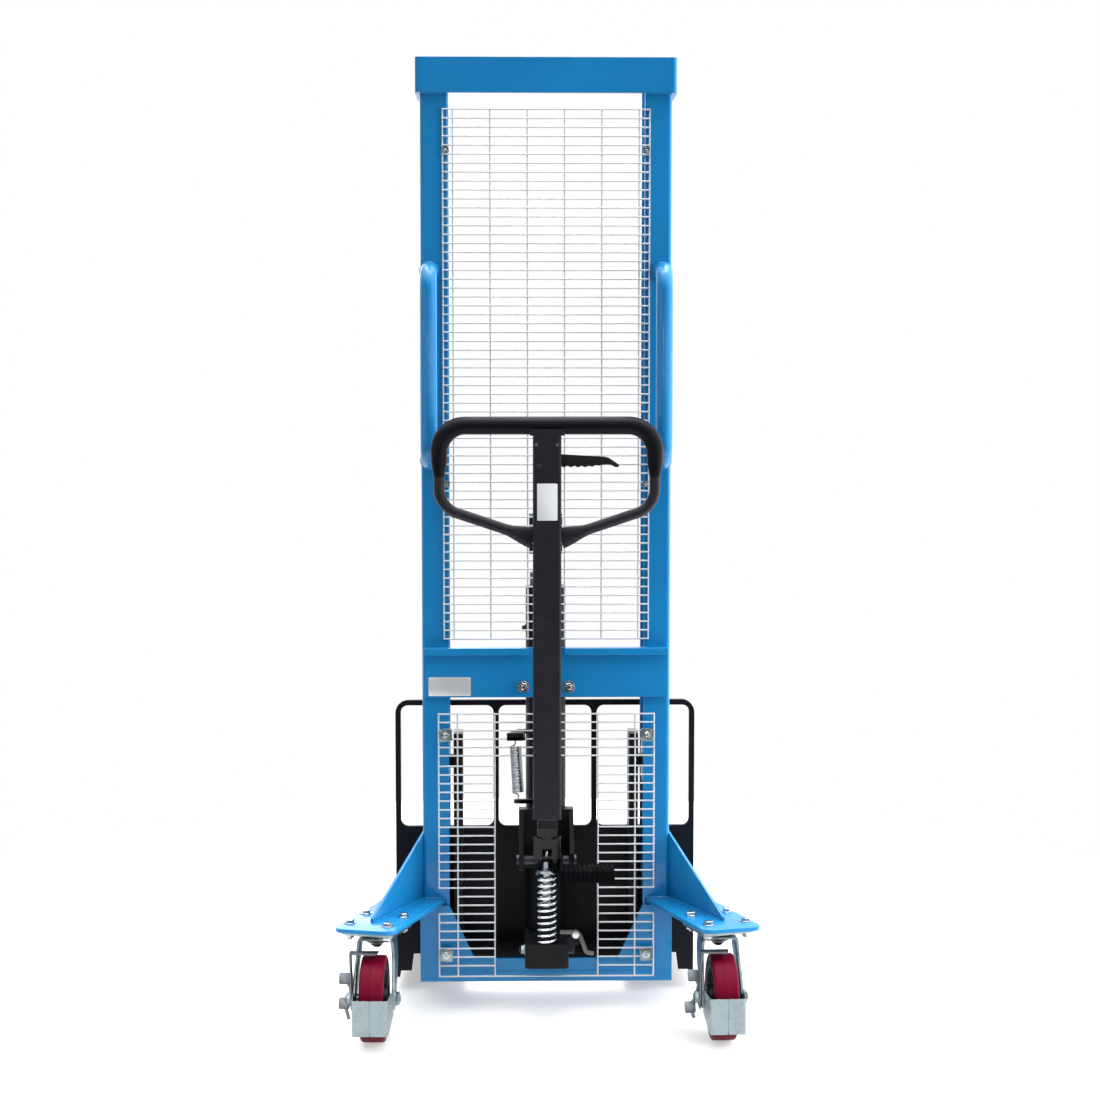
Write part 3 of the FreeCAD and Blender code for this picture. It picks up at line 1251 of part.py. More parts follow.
def fork(name, side):
    """A fork arm hollowed from below, with a plate in its heel and skirts that rise to a rounded nose."""
    body = new_body("fork_" + name)
    low_x, high_x = ordered(fork_inner * side, carriage_half * side)
    pad(body, "XZ", carriage_y, fork_front, rectangle(low_x, high_x, S.fork_low, S.fork_top))
    round_corners(body, "XY", [(low_x, fork_front), (high_x, fork_front)], S.fork_nose)
    under = S.fork_top - S.fork_plate
    pocket(body, "XY", S.fork_low, under,
           rectangle(low_x + S.fork_skirt, high_x - S.fork_skirt, carriage_y, fork_front - S.fork_nose))
    outer = carriage_half * side
    root = outer - S.heel_wide * side
    stiffener_low = S.fork_low + S.heel_lift
    pad(body, "XZ", carriage_y, carriage_y + S.heel_thick,
        [(outer, under), (root, under), (root + S.heel_slope * side, stiffener_low), (outer, stiffener_low)])
    pocket(body, "XY", heel_top, S.fork_top, rectangle(low_x, high_x, carriage_y, carriage_front))
    taper = [(fork_front - S.fork_taper, S.fork_low), (fork_front, S.fork_low),
             (fork_front, S.fork_top - S.fork_tip)]
    pocket(body, "YZ", low_x, high_x, taper)


def build():
    for name, side in SIDES.items():
        mast(name, side)
        leg(name, side)
        load_roller(name, side)
        outrigger(name, side)
        caster_plate(name, side)
        caster_fork(name, side)
        caster_wheel(name, side)
        caster_guard(name, side)
        caster_brake(name, side)
        carriage_side(name, side)
        fork(name, side)
        mast_roller("mast_roller_upper_" + name, side, S.roller_upper)
        mast_roller("mast_roller_lower_" + name, side, S.roller_lower)
    for make in (top_strap, cross_beam, base_plate, bow_handles, upper_guard, lower_guard, guard_clamps,
                 lift_cylinder, lift_rod, chain_head, chain_pulley, lift_chain, frame_bolts,
                 pump_block, pump_plunger, pivot_yoke, pivot_pin, tiller_tube, tiller_rocker, foot_pedal,
                 handle_loop, hand_lever, release_lever, spring_bracket, pump_spring, return_spring,
                 carriage_plate, backrest):
        make()


def check_and_export():
    doc.recompute()
    for item in doc.Objects:
        if "Invalid" in item.State or "Error" in item.State:
            raise RuntimeError("%s failed: %s" % (item.Name, item.State))
    os.makedirs("parts", exist_ok=True)
    for item in pieces:
        if item.Shape.isNull() or not item.Shape.isValid():
            raise RuntimeError("%s has no sound shape" % item.Label)
        item.Shape.exportStep("parts/%s.step" % item.Label)
    print("%d pieces" % len(pieces))


build()
check_and_export()
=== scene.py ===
import math

import bmesh
import bpy
from mathutils import Matrix, Vector


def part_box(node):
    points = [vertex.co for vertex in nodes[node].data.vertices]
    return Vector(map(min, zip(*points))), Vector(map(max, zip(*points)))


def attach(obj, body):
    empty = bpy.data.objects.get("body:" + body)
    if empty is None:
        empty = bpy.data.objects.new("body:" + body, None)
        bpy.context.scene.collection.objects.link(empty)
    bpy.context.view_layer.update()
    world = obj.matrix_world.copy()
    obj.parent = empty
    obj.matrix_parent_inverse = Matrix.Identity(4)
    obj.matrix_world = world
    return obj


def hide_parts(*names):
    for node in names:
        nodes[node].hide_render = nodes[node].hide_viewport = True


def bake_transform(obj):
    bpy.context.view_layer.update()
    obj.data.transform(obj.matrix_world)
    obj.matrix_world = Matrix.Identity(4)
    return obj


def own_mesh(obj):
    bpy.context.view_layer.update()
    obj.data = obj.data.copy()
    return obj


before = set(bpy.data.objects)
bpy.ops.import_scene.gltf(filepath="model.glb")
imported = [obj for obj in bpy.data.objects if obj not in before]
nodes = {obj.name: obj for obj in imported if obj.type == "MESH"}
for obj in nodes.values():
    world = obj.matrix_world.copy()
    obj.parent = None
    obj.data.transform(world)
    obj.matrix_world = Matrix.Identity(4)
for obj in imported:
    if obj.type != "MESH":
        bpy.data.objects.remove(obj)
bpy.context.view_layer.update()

# The CAD counts depth from the mast's rear face, and the strap's back is 10 mm behind it.
MM = 0.001
STRAP_BACK = 10.0
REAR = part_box("top_strap")[0][1] + STRAP_BACK * MM
HOME = Matrix.Translation((0.0, REAR, 0.0)) @ Matrix.Scale(MM, 4)
SIDES = (("left", -1), ("right", 1))
RIGHTWARD = (1, 0, 0)
LEFTWARD = (-1, 0, 0)
BACKWARD = (0, -1, 0)
DOWNWARD = (0, 0, -1)


def at(across, back, height):
    """A point given in millimetres from the mast's middle, its rear face and the floor."""
    return HOME @ Vector((across, back, height))


def aimed(place, across, back, height, axis=(0, 0, 1), roll=0.0):
    """A frame inside another one, whose own Z points along the axis."""
    turn = Vector(axis).to_track_quat("Z", "Y").to_matrix().to_4x4()
    return place @ Matrix.Translation((across, back, height)) @ turn @ Matrix.Rotation(math.radians(roll), 4, "Z")


class Nodes:
    """Builds one procedural material on object coordinates."""

    def __init__(self, name):
        self.material = bpy.data.materials.new(name)
        self.material.use_nodes = True
        self.tree = self.material.node_tree
        self.shader = self.tree.nodes["Principled BSDF"]
        self.place = self.add("ShaderNodeTexCoord").outputs["Object"]

    def add(self, kind, **inputs):
        node = self.tree.nodes.new(kind)
        for key, value in inputs.items():
            self.put(node.inputs[key.replace("_", " ")], value)
        return node

    def put(self, socket, value):
        if isinstance(value, bpy.types.NodeSocket):
            self.tree.links.new(value, socket)
        else:
            socket.default_value = value

    def noise(self, scale, detail=4, rough=0.55, stretch=None):
        place = self.place
        if stretch:
            mapping = self.add("ShaderNodeMapping", Vector=place)
            mapping.inputs["Scale"].default_value = stretch
            place = mapping.outputs["Vector"]
        node = self.add("ShaderNodeTexNoise", Vector=place, Scale=scale, Detail=detail, Roughness=rough)
        return node.outputs["Fac"]

    def span(self, value, low, high, out_low, out_high):
        node = self.add("ShaderNodeMapRange")
        for index, item in enumerate((value, low, high, out_low, out_high)):
            self.put(node.inputs[index], item)
        return node.outputs["Result"]

    def mix(self, amount, first, second):
        node = self.tree.nodes.new("ShaderNodeMix")
        node.data_type = "RGBA"
        self.put(node.inputs[0], amount)
        self.put(node.inputs[6], first)
        self.put(node.inputs[7], second)
        return node.outputs[2]

    def math(self, operation, first, second):
        node = self.tree.nodes.new("ShaderNodeMath")
        node.operation = operation
        self.put(node.inputs[0], first)
        self.put(node.inputs[1], second)
        return node.outputs[0]

    def edges(self, radius):
        """About 1 on edges and 0 on flat faces."""
        bevel = self.add("ShaderNodeBevel", Radius=radius)
        bevel.samples = 6
        geometry = self.add("ShaderNodeNewGeometry")
        dot = self.tree.nodes.new("ShaderNodeVectorMath")
        dot.operation = "DOT_PRODUCT"
        self.put(dot.inputs[0], bevel.outputs["Normal"])
        self.put(dot.inputs[1], geometry.outputs["Normal"])
        return self.span(dot.outputs["Value"], 0.90, 0.985, 1.0, 0.0)

    def bump(self, height, strength, distance, soft_edge):
        node = self.add("ShaderNodeBump", Height=height, Strength=strength, Distance=distance)
        bevel = self.add("ShaderNodeBevel", Radius=soft_edge)
        bevel.samples = 6
        self.put(node.inputs["Normal"], bevel.outputs["Normal"])
        self.put(self.shader.inputs["Normal"], node.outputs["Normal"])


def shaded(colour, factor):
    """A colour made lighter or darker, as four values."""
    return tuple(min(1.0, part * factor) for part in colour) + (1.0,)


def paint(name, colour, rough, peel, edge_light_colour=None, edge_light_share=0.0, coat=0.0, gloss=0.5, mottle=0.06, edge=0.0015):
    """Sprayed paint: faint mottling, orange peel, dust, and a lighter colour along the edges, broken up by noise: a
    painted edge highlight.
    """
    n = Nodes(name)
    base = n.mix(n.span(n.noise(5.0, 5), 0.3, 0.7, 0.0, 1.0), shaded(colour, 1 - mottle), shaded(colour, 1 + mottle))
    # Painted edge highlight: on edges the colour turns towards a lighter one, by a share that noise varies.
    if edge_light_share:
        patchy_edge_light = n.span(n.noise(140.0, 6, 0.7), 0.5, 0.62, edge_light_share * 0.35, edge_light_share)
        base = n.mix(n.math("MULTIPLY", n.edges(edge * 1.6), patchy_edge_light), base, edge_light_colour + (1.0,))
    n.put(n.shader.inputs["Base Color"], base)
    n.put(n.shader.inputs["Roughness"], n.span(n.noise(60.0, 4), 0.3, 0.7, rough * 0.85, rough * 1.2))
    n.shader.inputs["Specular IOR Level"].default_value = gloss
    n.shader.inputs["Coat Weight"].default_value = coat
    n.shader.inputs["Coat Roughness"].default_value = 0.05
    n.bump(n.noise(peel, 3), 0.06, 0.0004, edge)
    return n.material


def metal(name, colour, rough, grain=220.0, stretch=None, mottle=0.12, bump=0.05, edge=0.0008, spangle=0.0):
    """Bare or plated metal with fine marks, and spangle for zinc."""
    n = Nodes(name)
    marks = n.noise(grain, 5, 0.6, stretch)
    base = n.mix(n.span(n.noise(14.0, 6, 0.6), 0.3, 0.7, 0.0, 1.0), shaded(colour, 1 - mottle),
                 shaded(colour, 1 + mottle))
    if spangle:
        cells = n.add("ShaderNodeTexVoronoi", Vector=n.place, Scale=160.0)
        base = n.mix(n.span(cells.outputs["Color"], 0.0, 1.0, 0.0, spangle), base, shaded(colour, 1.3))
    n.put(n.shader.inputs["Base Color"], base)
    n.shader.inputs["Metallic"].default_value = 1.0
    n.put(n.shader.inputs["Roughness"], n.span(marks, 0.3, 0.7, rough * 0.7, rough * 1.35))
    n.bump(marks, bump, 0.0003, edge)
    return n.material


def polymer(name, colour, rough, grain, strength, mottle=0.15, scuff=0.15, gloss=0.5, edge=0.001):
    """Rubber or plastic with moulded grain and pale scuffs."""
    n = Nodes(name)
    base = n.mix(n.span(n.noise(18.0, 5), 0.3, 0.7, 0.0, 1.0), shaded(colour, 1 - mottle),
                 shaded(colour, 1 + mottle))
    marks = n.span(n.noise(90.0, 7, 0.75), 0.58, 0.75, 0.0, scuff)
    base = n.mix(marks, base, shaded([part + 0.04 for part in colour], 1.0))
    n.put(n.shader.inputs["Base Color"], base)
    n.put(n.shader.inputs["Roughness"], n.span(n.noise(40.0, 4), 0.3, 0.7, rough * 0.85, min(1.0, rough * 1.15)))
    n.shader.inputs["Specular IOR Level"].default_value = gloss
    n.bump(n.noise(grain, 3), strength, 0.0004, edge)
    return n.material


BLUE = (0.0062, 0.172, 0.415)
# A lighter copy of the blue, used as the blue paint's painted edge highlight.
EDGE_HIGHLIGHT_BLUE = (0.05, 0.34, 0.66)
BLACK = (0.0062, 0.0066, 0.0082)
M = {
    # In each paint, the fifth and sixth values give the colour and the share of its painted edge highlight.
    "blue": paint("blue_paint", BLUE, 0.32, 900.0, EDGE_HIGHLIGHT_BLUE, 0.35, 0.28, 0.22, 0.06, 0.003),
    "black": paint("black_paint", BLACK, 0.40, 700.0, (0.03, 0.031, 0.035), 0.3, 0.0, 0.12),
    "tiller": paint("tiller_paint", (0.0092, 0.0092, 0.0140), 0.42, 1100.0, (0.04, 0.04, 0.045), 0.25, 0.0, 0.25),
    "wire": paint("wire_coat", (0.50, 0.52, 0.545), 0.34, 400.0, None, 0.0, 0.1, 0.5, 0.05),
    "zinc": metal("bright_zinc", (0.24, 0.295, 0.315), 0.34, 260.0, None, 0.16, 0.06, 0.0008, 0.3),
    "steel": metal("plain_steel", (0.33, 0.335, 0.34), 0.38, 300.0, (1.0, 1.0, 8.0), 0.2, 0.08),
    "brake": metal("brake_steel", (0.16, 0.175, 0.19), 0.42, 260.0, None, 0.2, 0.08, 0.0008, 0.2),
    "nut": metal("plated_nut", (0.44, 0.47, 0.49), 0.20, 260.0, None, 0.12, 0.04, 0.0008, 0.1),
    "strip": metal("dark_zinc", (0.13, 0.127, 0.12), 0.42, 260.0, None, 0.2, 0.08),
    "plate": metal("bare_plate", (0.74, 0.765, 0.79), 0.45, 500.0, (1.0, 1.0, 30.0), 0.06, 0.05),
    "spring": metal("spring_wire", (0.40, 0.41, 0.43), 0.2, 160.0, None, 0.1, 0.02),
    "chrome": metal("chrome", (0.78, 0.80, 0.815), 0.10, 160.0, None, 0.06, 0.015),
    "dark": metal("dark_steel", (0.05, 0.052, 0.057), 0.40, 300.0, None, 0.25, 0.08),
    "casting": paint("casting_paint", (0.007, 0.0075, 0.008), 0.3, 420.0, (0.32, 0.33, 0.35), 0.9, 0.0, 0.22, 0.06,
                     0.0008),
    "iron": paint("wheel_core", (0.008, 0.008, 0.009), 0.45, 500.0, (0.05, 0.05, 0.055), 0.2, 0.0, 0.3),
    "rubber": polymer("black_rubber", (0.0044, 0.005, 0.0075), 0.38, 520.0, 0.06, 0.15, 0.04, 0.1),
    "pad": polymer("pedal_rubber", (0.003, 0.0034, 0.0042), 0.8, 520.0, 0.08, 0.15, 0.03, 0.02),
    "plastic": polymer("black_plastic", (0.008, 0.008, 0.009), 0.42, 650.0, 0.06, 0.15, 0.10, 0.2),
    "tread": polymer("red_tread", (0.098, 0.0008, 0.0125), 0.45, 300.0, 0.05, 0.10, 0.01, 0.06),
    "label": polymer("pale_label", (0.55, 0.57, 0.60), 0.4, 700.0, 0.02, 0.04, 0.05, 0.4),
    "nylon": polymer("white_nylon", (0.62, 0.61, 0.57), 0.5, 300.0, 0.05, 0.06, 0.1),
}

LOOKS = {
    "blue": ["mast_left", "mast_right", "top_strap", "cross_beam", "base_plate", "leg_left", "leg_right",
             "outrigger_left", "outrigger_right", "bow_handles"],
    "wire": ["upper_guard", "lower_guard"],
    "zinc": ["guard_clamps", "frame_bolts", "release_lever", "caster_plate_left", "caster_plate_right",
             "caster_fork_left", "caster_fork_right", "caster_brake_left", "caster_brake_right",
             "caster_guard_left", "caster_guard_right", "chain_pulley"],
    "black": ["lift_cylinder", "pump_block", "pivot_yoke", "spring_bracket", "chain_head", "carriage_plate",
              "carriage_side_left", "carriage_side_right", "backrest", "fork_left", "fork_right"],
    "tiller": ["tiller_tube", "handle_loop"],
    "casting": ["tiller_rocker"],
    "dark": ["cylinder_gland", "pivot_pin", "chain_fixed", "chain_free", "chain_wrap"],
    "steel": ["mast_roller_upper_left", "mast_roller_upper_right", "mast_roller_lower_left",
              "mast_roller_lower_right"],
    "chrome": ["lift_rod", "pump_spring"],
    "spring": ["return_spring", "pump_plunger"],
    "rubber": ["handle_grip"],
    "pad": ["foot_pedal"],
    "plastic": ["hand_lever"],
    "tread": ["caster_tyre_left", "caster_tyre_right"],
    "iron": ["caster_core_left", "caster_core_right"],
    "nylon": ["load_roller_left", "load_roller_right"],
}
for look, names in LOOKS.items():
    for name in names:
        node = nodes[name]
        node.data.materials.clear()
        node.data.materials.append(M[look])


def add_loft(bm, rings, closed=False):
    """Skins a row of rings that have the same number of points, and caps it unless it closes on itself."""
    made = [[bm.verts.new(point) for point in ring] for ring in rings]
    count = len(made[0])
    following = made[1:] + made[:1] if closed else made[1:]
    faces = []
    for first, second in zip(made, following):
        for k in range(count):
            after = (k + 1) % count
            faces.append(bm.faces.new((first[k], first[after], second[after], second[k])))
    if not closed:
        faces.append(bm.faces.new(list(reversed(made[0]))))
        faces.append(bm.faces.new(made[-1]))
    return faces


def soften(bm, faces, width, segments=2):
    """Bevels the sharp edges of some faces, by a width in millimetres."""
    bmesh.ops.recalc_face_normals(bm, faces=faces)
    edges = {edge for face in faces for edge in face.edges}
    sharp = [edge for edge in edges if len(edge.link_faces) == 2 and edge.calc_face_angle() > 0.5]
    bmesh.ops.bevel(bm, geom=sharp, offset=width * MM, segments=segments, profile=0.5, affect="EDGES",
                    clamp_overlap=True)


def circle(radius, height, sides, phase=0.0):
    """Points round the Z axis."""
    angles = [2 * math.pi * (k + phase) / sides for k in range(sides)]
    return [Vector((radius * math.cos(angle), radius * math.sin(angle), height)) for angle in angles]


def add_turned(bm, place, profile, sides=32, closed=False):
    """Turns a profile of radius and height about the place's own Z."""
    rings = [[place @ point for point in circle(radius, height, sides)] for radius, height in profile]
    return add_loft(bm, rings, closed)


def add_hex(bm, place, radius, tall, chamfer=1.2):
    """A hexagon head or nut with a chamfered top."""
    add_turned(bm, place, [(radius, 0), (radius, tall - chamfer), (radius - chamfer, tall)], 6)


def add_washer(bm, place, inner, outer, thick):
    """A washer with a softened rim."""
    add_turned(bm, place, [(inner, 0), (outer, 0), (outer, thick * 0.7), (outer - thick * 0.3, thick),
                           (inner, thick)], 24, True)


def add_stud(bm, place, radius, tall):
    """A bolt's end with a few turns of thread and a rounded tip."""
    profile = [(radius, 0)]
    turns = max(1, int(tall))
    for step in range(turns):
        low = tall * 0.8 * step / turns
        profile += [(radius, low + 0.1), (radius * 0.88, low + 0.4 * tall / turns)]
    profile += [(radius * 0.88, tall * 0.85), (radius * 0.6, tall)]
    add_turned(bm, place, profile, 16)


def add_slab(bm, place, outline, low, high, soft=0.0):
    """A plate with an outline in the place's own XY plane."""
    rings = [[place @ Vector((x, y, level)) for x, y in outline] for level in (low, high)]
    faces = add_loft(bm, rings)
    if soft:
        soften(bm, faces, soft)


def rounded_box(half_wide, half_tall, radius, steps=5):
    """The outline of a rectangle with round corners."""
    points = []
    for quarter, (x, y) in enumerate(((1, 1), (-1, 1), (-1, -1), (1, -1))):
        for step in range(steps + 1):
            angle = math.pi / 2 * (quarter + step / steps)
            points.append((x * (half_wide - radius) + radius * math.cos(angle),
                           y * (half_tall - radius) + radius * math.sin(angle)))
    return points


def ribbon(points, half):
    """The outline of a strip along flat points."""
    left, right = [], []
    for index, (x, y) in enumerate(points):
        before = points[max(index - 1, 0)]
        after = points[min(index + 1, len(points) - 1)]
        run = math.hypot(after[0] - before[0], after[1] - before[1])
        side = (-(after[1] - before[1]) / run * half, (after[0] - before[0]) / run * half)
        left.append((x + side[0], y + side[1]))
        right.append((x - side[0], y - side[1]))
    return left + right[::-1]


def rounded_route(corners, bends, steps=10):
    """Points along straight runs with rounded corners."""
    corners = [Vector(corner) for corner in corners]
    points = [corners[0]]
    for before, corner, after, bend in zip(corners, corners[1:], corners[2:], bends):
        back = (before - corner).normalized()
        onward = (after - corner).normalized()
        half = back.angle(onward) / 2
        centre = corner + (back + onward).normalized() * (bend / math.sin(half))
        start = (corner + back * (bend / math.tan(half)) - centre).normalized()
        end = (corner + onward * (bend / math.tan(half)) - centre).normalized()
        points += [centre + start.slerp(end, step / steps) * bend for step in range(steps + 1)]
    return points + [corners[-1]]


def resampled(points, count):
    """The same line as evenly spaced points."""
    reached = [0.0]
    for first, second in zip(points, points[1:]):
        reached.append(reached[-1] + (second - first).length)
    result = []
    index = 0
    for step in range(count + 1):
        target = reached[-1] * step / count
        while index < len(points) - 2 and reached[index + 1] < target:
            index += 1
        share = (target - reached[index]) / (reached[index + 1] - reached[index])
        result.append(points[index].lerp(points[index + 1], min(share, 1.0)))
    return result


def add_bar(bm, place, points, normal, across, deep, sides=16):
    """A bar along a flat route; each point has its own half width and half depth."""
    normal = Vector(normal)
    rings = []
    last = len(points) - 1
    for index, point in enumerate(points):
        heading = (points[min(index + 1, last)] - points[max(index - 1, 0)]).normalized()
        up = heading.cross(normal).normalized()
        rings.append([place @ (point + up * (across[index] * part.x) + normal * (deep[index] * part.y))
                      for part in circle(1.0, 0.0, sides)])
    return add_loft(bm, rings)


def add_rod(bm, place, points, radius, sides=10):
    """A round wire along any points, with sections carried along so that it doesn't twist."""
    heading = (points[1] - points[0]).normalized()
    side = heading.orthogonal().normalized()
    last = len(points) - 1
    rings = []
    for index, point in enumerate(points):
        ahead = (points[min(index + 1, last)] - points[max(index - 1, 0)]).normalized()
        side = (heading.rotation_difference(ahead) @ side).normalized()
        heading = ahead
        up = heading.cross(side)
        size = radius[index] if isinstance(radius, list) else radius
        rings.append([place @ (point + side * (size * part.x) + up * (size * part.y))
                      for part in circle(1.0, 0.0, sides)])
    return add_loft(bm, rings)


def piece(name, bm, look, body, replaced=(), sharp=35.0):
    """Turns a mesh into a named piece that rides on a body."""
    bmesh.ops.recalc_face_normals(bm, faces=bm.faces)
    mesh = bpy.data.meshes.new(name)
    bm.to_mesh(mesh)
    bm.free()
    mesh.shade_smooth()
    mesh.set_sharp_from_angle(angle=math.radians(sharp))
    thing = bpy.data.objects.new(name, mesh)
    bpy.context.scene.collection.objects.link(thing)
    mesh.materials.append(M[look])
    if body:
        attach(thing, body)
    if replaced:
        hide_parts(*replaced)
    return thing


def eased(share):
    """A share from 0 to 1, with a soft start and end."""
    return share * share * (3 - 2 * share)


def mirrored(half):
    """A wheel's whole profile from its half of radius and height."""
    return [(radius, -height) for radius, height in half] + half[::-1]


def side_plane(place):
    """A frame whose XY plane is the place's own YZ plane."""
    return place @ Matrix.Rotation(math.radians(90), 4, "Y") @ Matrix.Rotation(math.radians(90), 4, "Z")


def spaced(low, high, count):
    """Evenly spaced values, both ends included."""
    return [low + (high - low) * index / count for index in range(count + 1)]


WIRE = 1.75
ROW_Y = -3.2
POST_Y = -1.7


def add_wire(bm, start, end):
    """One straight wire of a guard."""
    add_rod(bm, HOME, [Vector(start), Vector(end)], WIRE, 8)


def upper_guard():
    """The net between the masts above the beam."""
    bm = bmesh.new()
    half, edge = 221.75, 22.0
    low, high = 813.25, 1950.75
    for height in spaced(low, high, 60):
        add_wire(bm, (-half - WIRE, ROW_Y, height), (half + WIRE, ROW_Y, height))
    for across in [-half] + spaced(-half + edge, half - edge, 5) + [half]:
        add_wire(bm, (across, POST_Y, low - WIRE), (across, POST_Y, high + WIRE))
    piece("upper_guard_wires", bm, "wire", "chassis", ["upper_guard"])


def lower_guard():
    """The net below the beam, with its opening for the pump and gaps at the outriggers."""
    bm = bmesh.new()
    outer, inner, gap = 233.75, 192.75, 112.25
    row_y, post_y = ROW_Y - 28, POST_Y - 28
    rows = spaced(78.75, 538.75, 24)
    for height in spaced(543.25, 652.75, 6)[1:] + [74.3]:
        add_wire(bm, (-outer - WIRE, row_y, height), (outer + WIRE, row_y, height))
    for name, side in SIDES:
        for index, height in enumerate(rows[1:], start=1):
            start = inner if 7 < index < 10 else outer
            add_wire(bm, (side * (gap - WIRE), row_y, height), (side * (start + WIRE), row_y, height))
        for low, high in ((72.5, rows[7] + WIRE), (rows[10] - WIRE, 654.5)):
            add_wire(bm, (side * outer, post_y, low), (side * outer, post_y, high))
        for across in (inner, gap):
            add_wire(bm, (side * across, post_y, 72.5), (side * across, post_y, 654.5))
    piece("lower_guard_wires", bm, "wire", "chassis", ["lower_guard"])


def guard_holders():
    """Square clamp plates on studs for the lower guard, and small hooked clips for the upper one."""
    bm, nuts = bmesh.new(), bmesh.new()
    for (name, side), tilts in zip(SIDES, ((4, -3), (-6, 5))):
        for height, tilt in zip((607, 122), tilts):
            place = aimed(HOME, side * 218, -33, height, BACKWARD, tilt)
            add_slab(bm, place, rounded_box(13.5, 13.5, 2.5), 0.2, 2.8, 0.5)
            add_washer(nuts, aimed(place, 0, 0, 2.8), 4.2, 8.5, 1.4)
            add_hex(nuts, aimed(place, 0, 0, 4.2, roll=20), 7, 4.5)
            add_stud(nuts, aimed(place, 0, 0, 8.7), 3.8, 3.4)
        for height in (1864, 1150):
            place = aimed(HOME, side * 215, -5, height, BACKWARD, tilts[0])
            add_slab(bm, place, rounded_box(7, 6, 1.5), 0.2, 1.8, 0.4)
            add_slab(bm, place, [(-7, 3.5), (7, 3.5), (7, 6), (-7, 6)], -3.0, 1.8, 0.4)
            add_turned(bm, aimed(place, 0, -1, 1.8), [(3.6, 0), (3.4, 1.2), (2.2, 2.1), (0.6, 2.3)], 16)
    piece("guard_holder_set", bm, "zinc", "chassis", ["guard_clamps"])
    piece("guard_holder_nuts", nuts, "nut", "chassis", ())


def coil(radius, low, high, turns, steps=24):
    """Points of a coil about the place's own Z."""
    total = turns * steps
    return [Vector((radius * math.cos(2 * math.pi * index / steps), radius * math.sin(2 * math.pi * index / steps),
                    low + (high - low) * index / total)) for index in range(total + 1)]


PUMP_Y = -74


def pump_spring():
    """The coil round the plunger."""
    bm = bmesh.new()
    base = aimed(HOME, 0, PUMP_Y, 0)
    add_rod(bm, base, coil(21.2, 163.2, 312.4, 11), 2.8, 12)
    spring = piece("pump_spring_coil", bm, "chrome", "chassis", ["pump_spring"])
    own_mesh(spring)


def return_spring():
    """A close-wound pull spring with a hook at each end, between a bracket and a tab on the tiller."""
    tail, hook = Vector((-61, -92, 478)), Vector((-68, -66, 602))
    way = hook - tail
    length = way.length
    place = aimed(HOME, tail.x, tail.y, tail.z, way)
    lead = [Vector((0, 0, 1.5)), Vector((0, 0, 8)), Vector((3, 0, 12)), Vector((8, 0, 13.5))]
    trail = [Vector((8, 0, length - 13.5)), Vector((3, 0, length - 12)), Vector((0, 0, length - 8)),
             Vector((0, 0, length - 1.5))]
    bm = bmesh.new()
    add_rod(bm, place, lead + coil(11.2, 14.5, length - 14.5, 27, 20) + trail, 1.6, 8)
    spring = piece("return_spring_coil", bm, "spring", None, ["return_spring"])
    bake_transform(spring)
    bm = bmesh.new()
    arm = [(-84, -80), (-52, -80), (-46, -74), (-46, 16), (-22, 16), (-22, 34), (-62, 34), (-86, -30), (-86, -78)]
    add_slab(bm, HOME, arm, 602, 610, 1.0)
    add_slab(bm, HOME, [(-86, -80), (-50, -80), (-50, -76.5), (-86, -76.5)], 602, 619, 1.0)
    piece("spring_arm", bm, "black", "chassis", ["spring_bracket"])
    bm = bmesh.new()
    add_slab(bm, HOME, [(-30, -100), (-66, -100), (-71, -96), (-71, -88), (-66, -84), (-30, -84)], 469, 478.3, 1.0)
    piece("spring_tail_tab", bm, "tiller", "tiller", ())


SPLAY = math.radians(20)
SWIVEL_X = 360
SWIVEL_BACK = 185
OUTRIGGER_TOP = 240
OUTRIGGER_LOW = 231
WEB_TIP = Vector((369, -209))
WEB_ROOT = Vector((268, 14))
WEB_HALF = 3
PLATE_LOW = 218
BOLT_SPREAD = 43
BOLT_WASHER = 2.2
BOLT_NUT = 7.6
BEAM_REAR = -10
U_BOLT_HALF = 50
U_BOLT_Z = 709
U_BOLT_WASHER = 2.6
U_BOLT_NUT = 8


def from_swivel(side, along, across):
    """A plan point by its distance along and across the outrigger's centre line."""
    return ((SWIVEL_X + along * math.sin(SPLAY) + across * math.cos(SPLAY)) * side,
            across * math.sin(SPLAY) - SWIVEL_BACK - along * math.cos(SPLAY))


def along_web(side, share, off=0.0):
    """A plan point on the outrigger's web, by its share of the length and its distance off the middle."""
    run = WEB_ROOT - WEB_TIP
    spot = WEB_TIP + run * share + Vector((run.y, -run.x)).normalized() * off
    return (side * spot.x, spot.y)


def outrigger_arm(name, side):
    """The splayed plate with rounded rear corners, and the thin web that stands on it."""
    bm = bmesh.new()
    rear = rounded_route([(217, 0, 0), (321, -288, 0), (449, -256, 0), (330, 75, 0)], [26, 22], 10)
    outline = [(side * point.x, point.y) for point in rear] + [(side * 270, 75), (side * 270, 0)]
    add_slab(bm, HOME, outline, OUTRIGGER_LOW, OUTRIGGER_TOP, 1.4)
    corners = [(0, OUTRIGGER_TOP), (0, OUTRIGGER_TOP + 9), (1, 388), (1, OUTRIGGER_TOP)]
    faces = add_loft(bm, [[HOME @ Vector(along_web(side, share, off) + (height,)) for share, height in corners]
                          for off in (-WEB_HALF, WEB_HALF)])
    soften(bm, faces, 0.8)
    piece("outrigger_arm_" + name, bm, "blue", "chassis", ["outrigger_" + name])


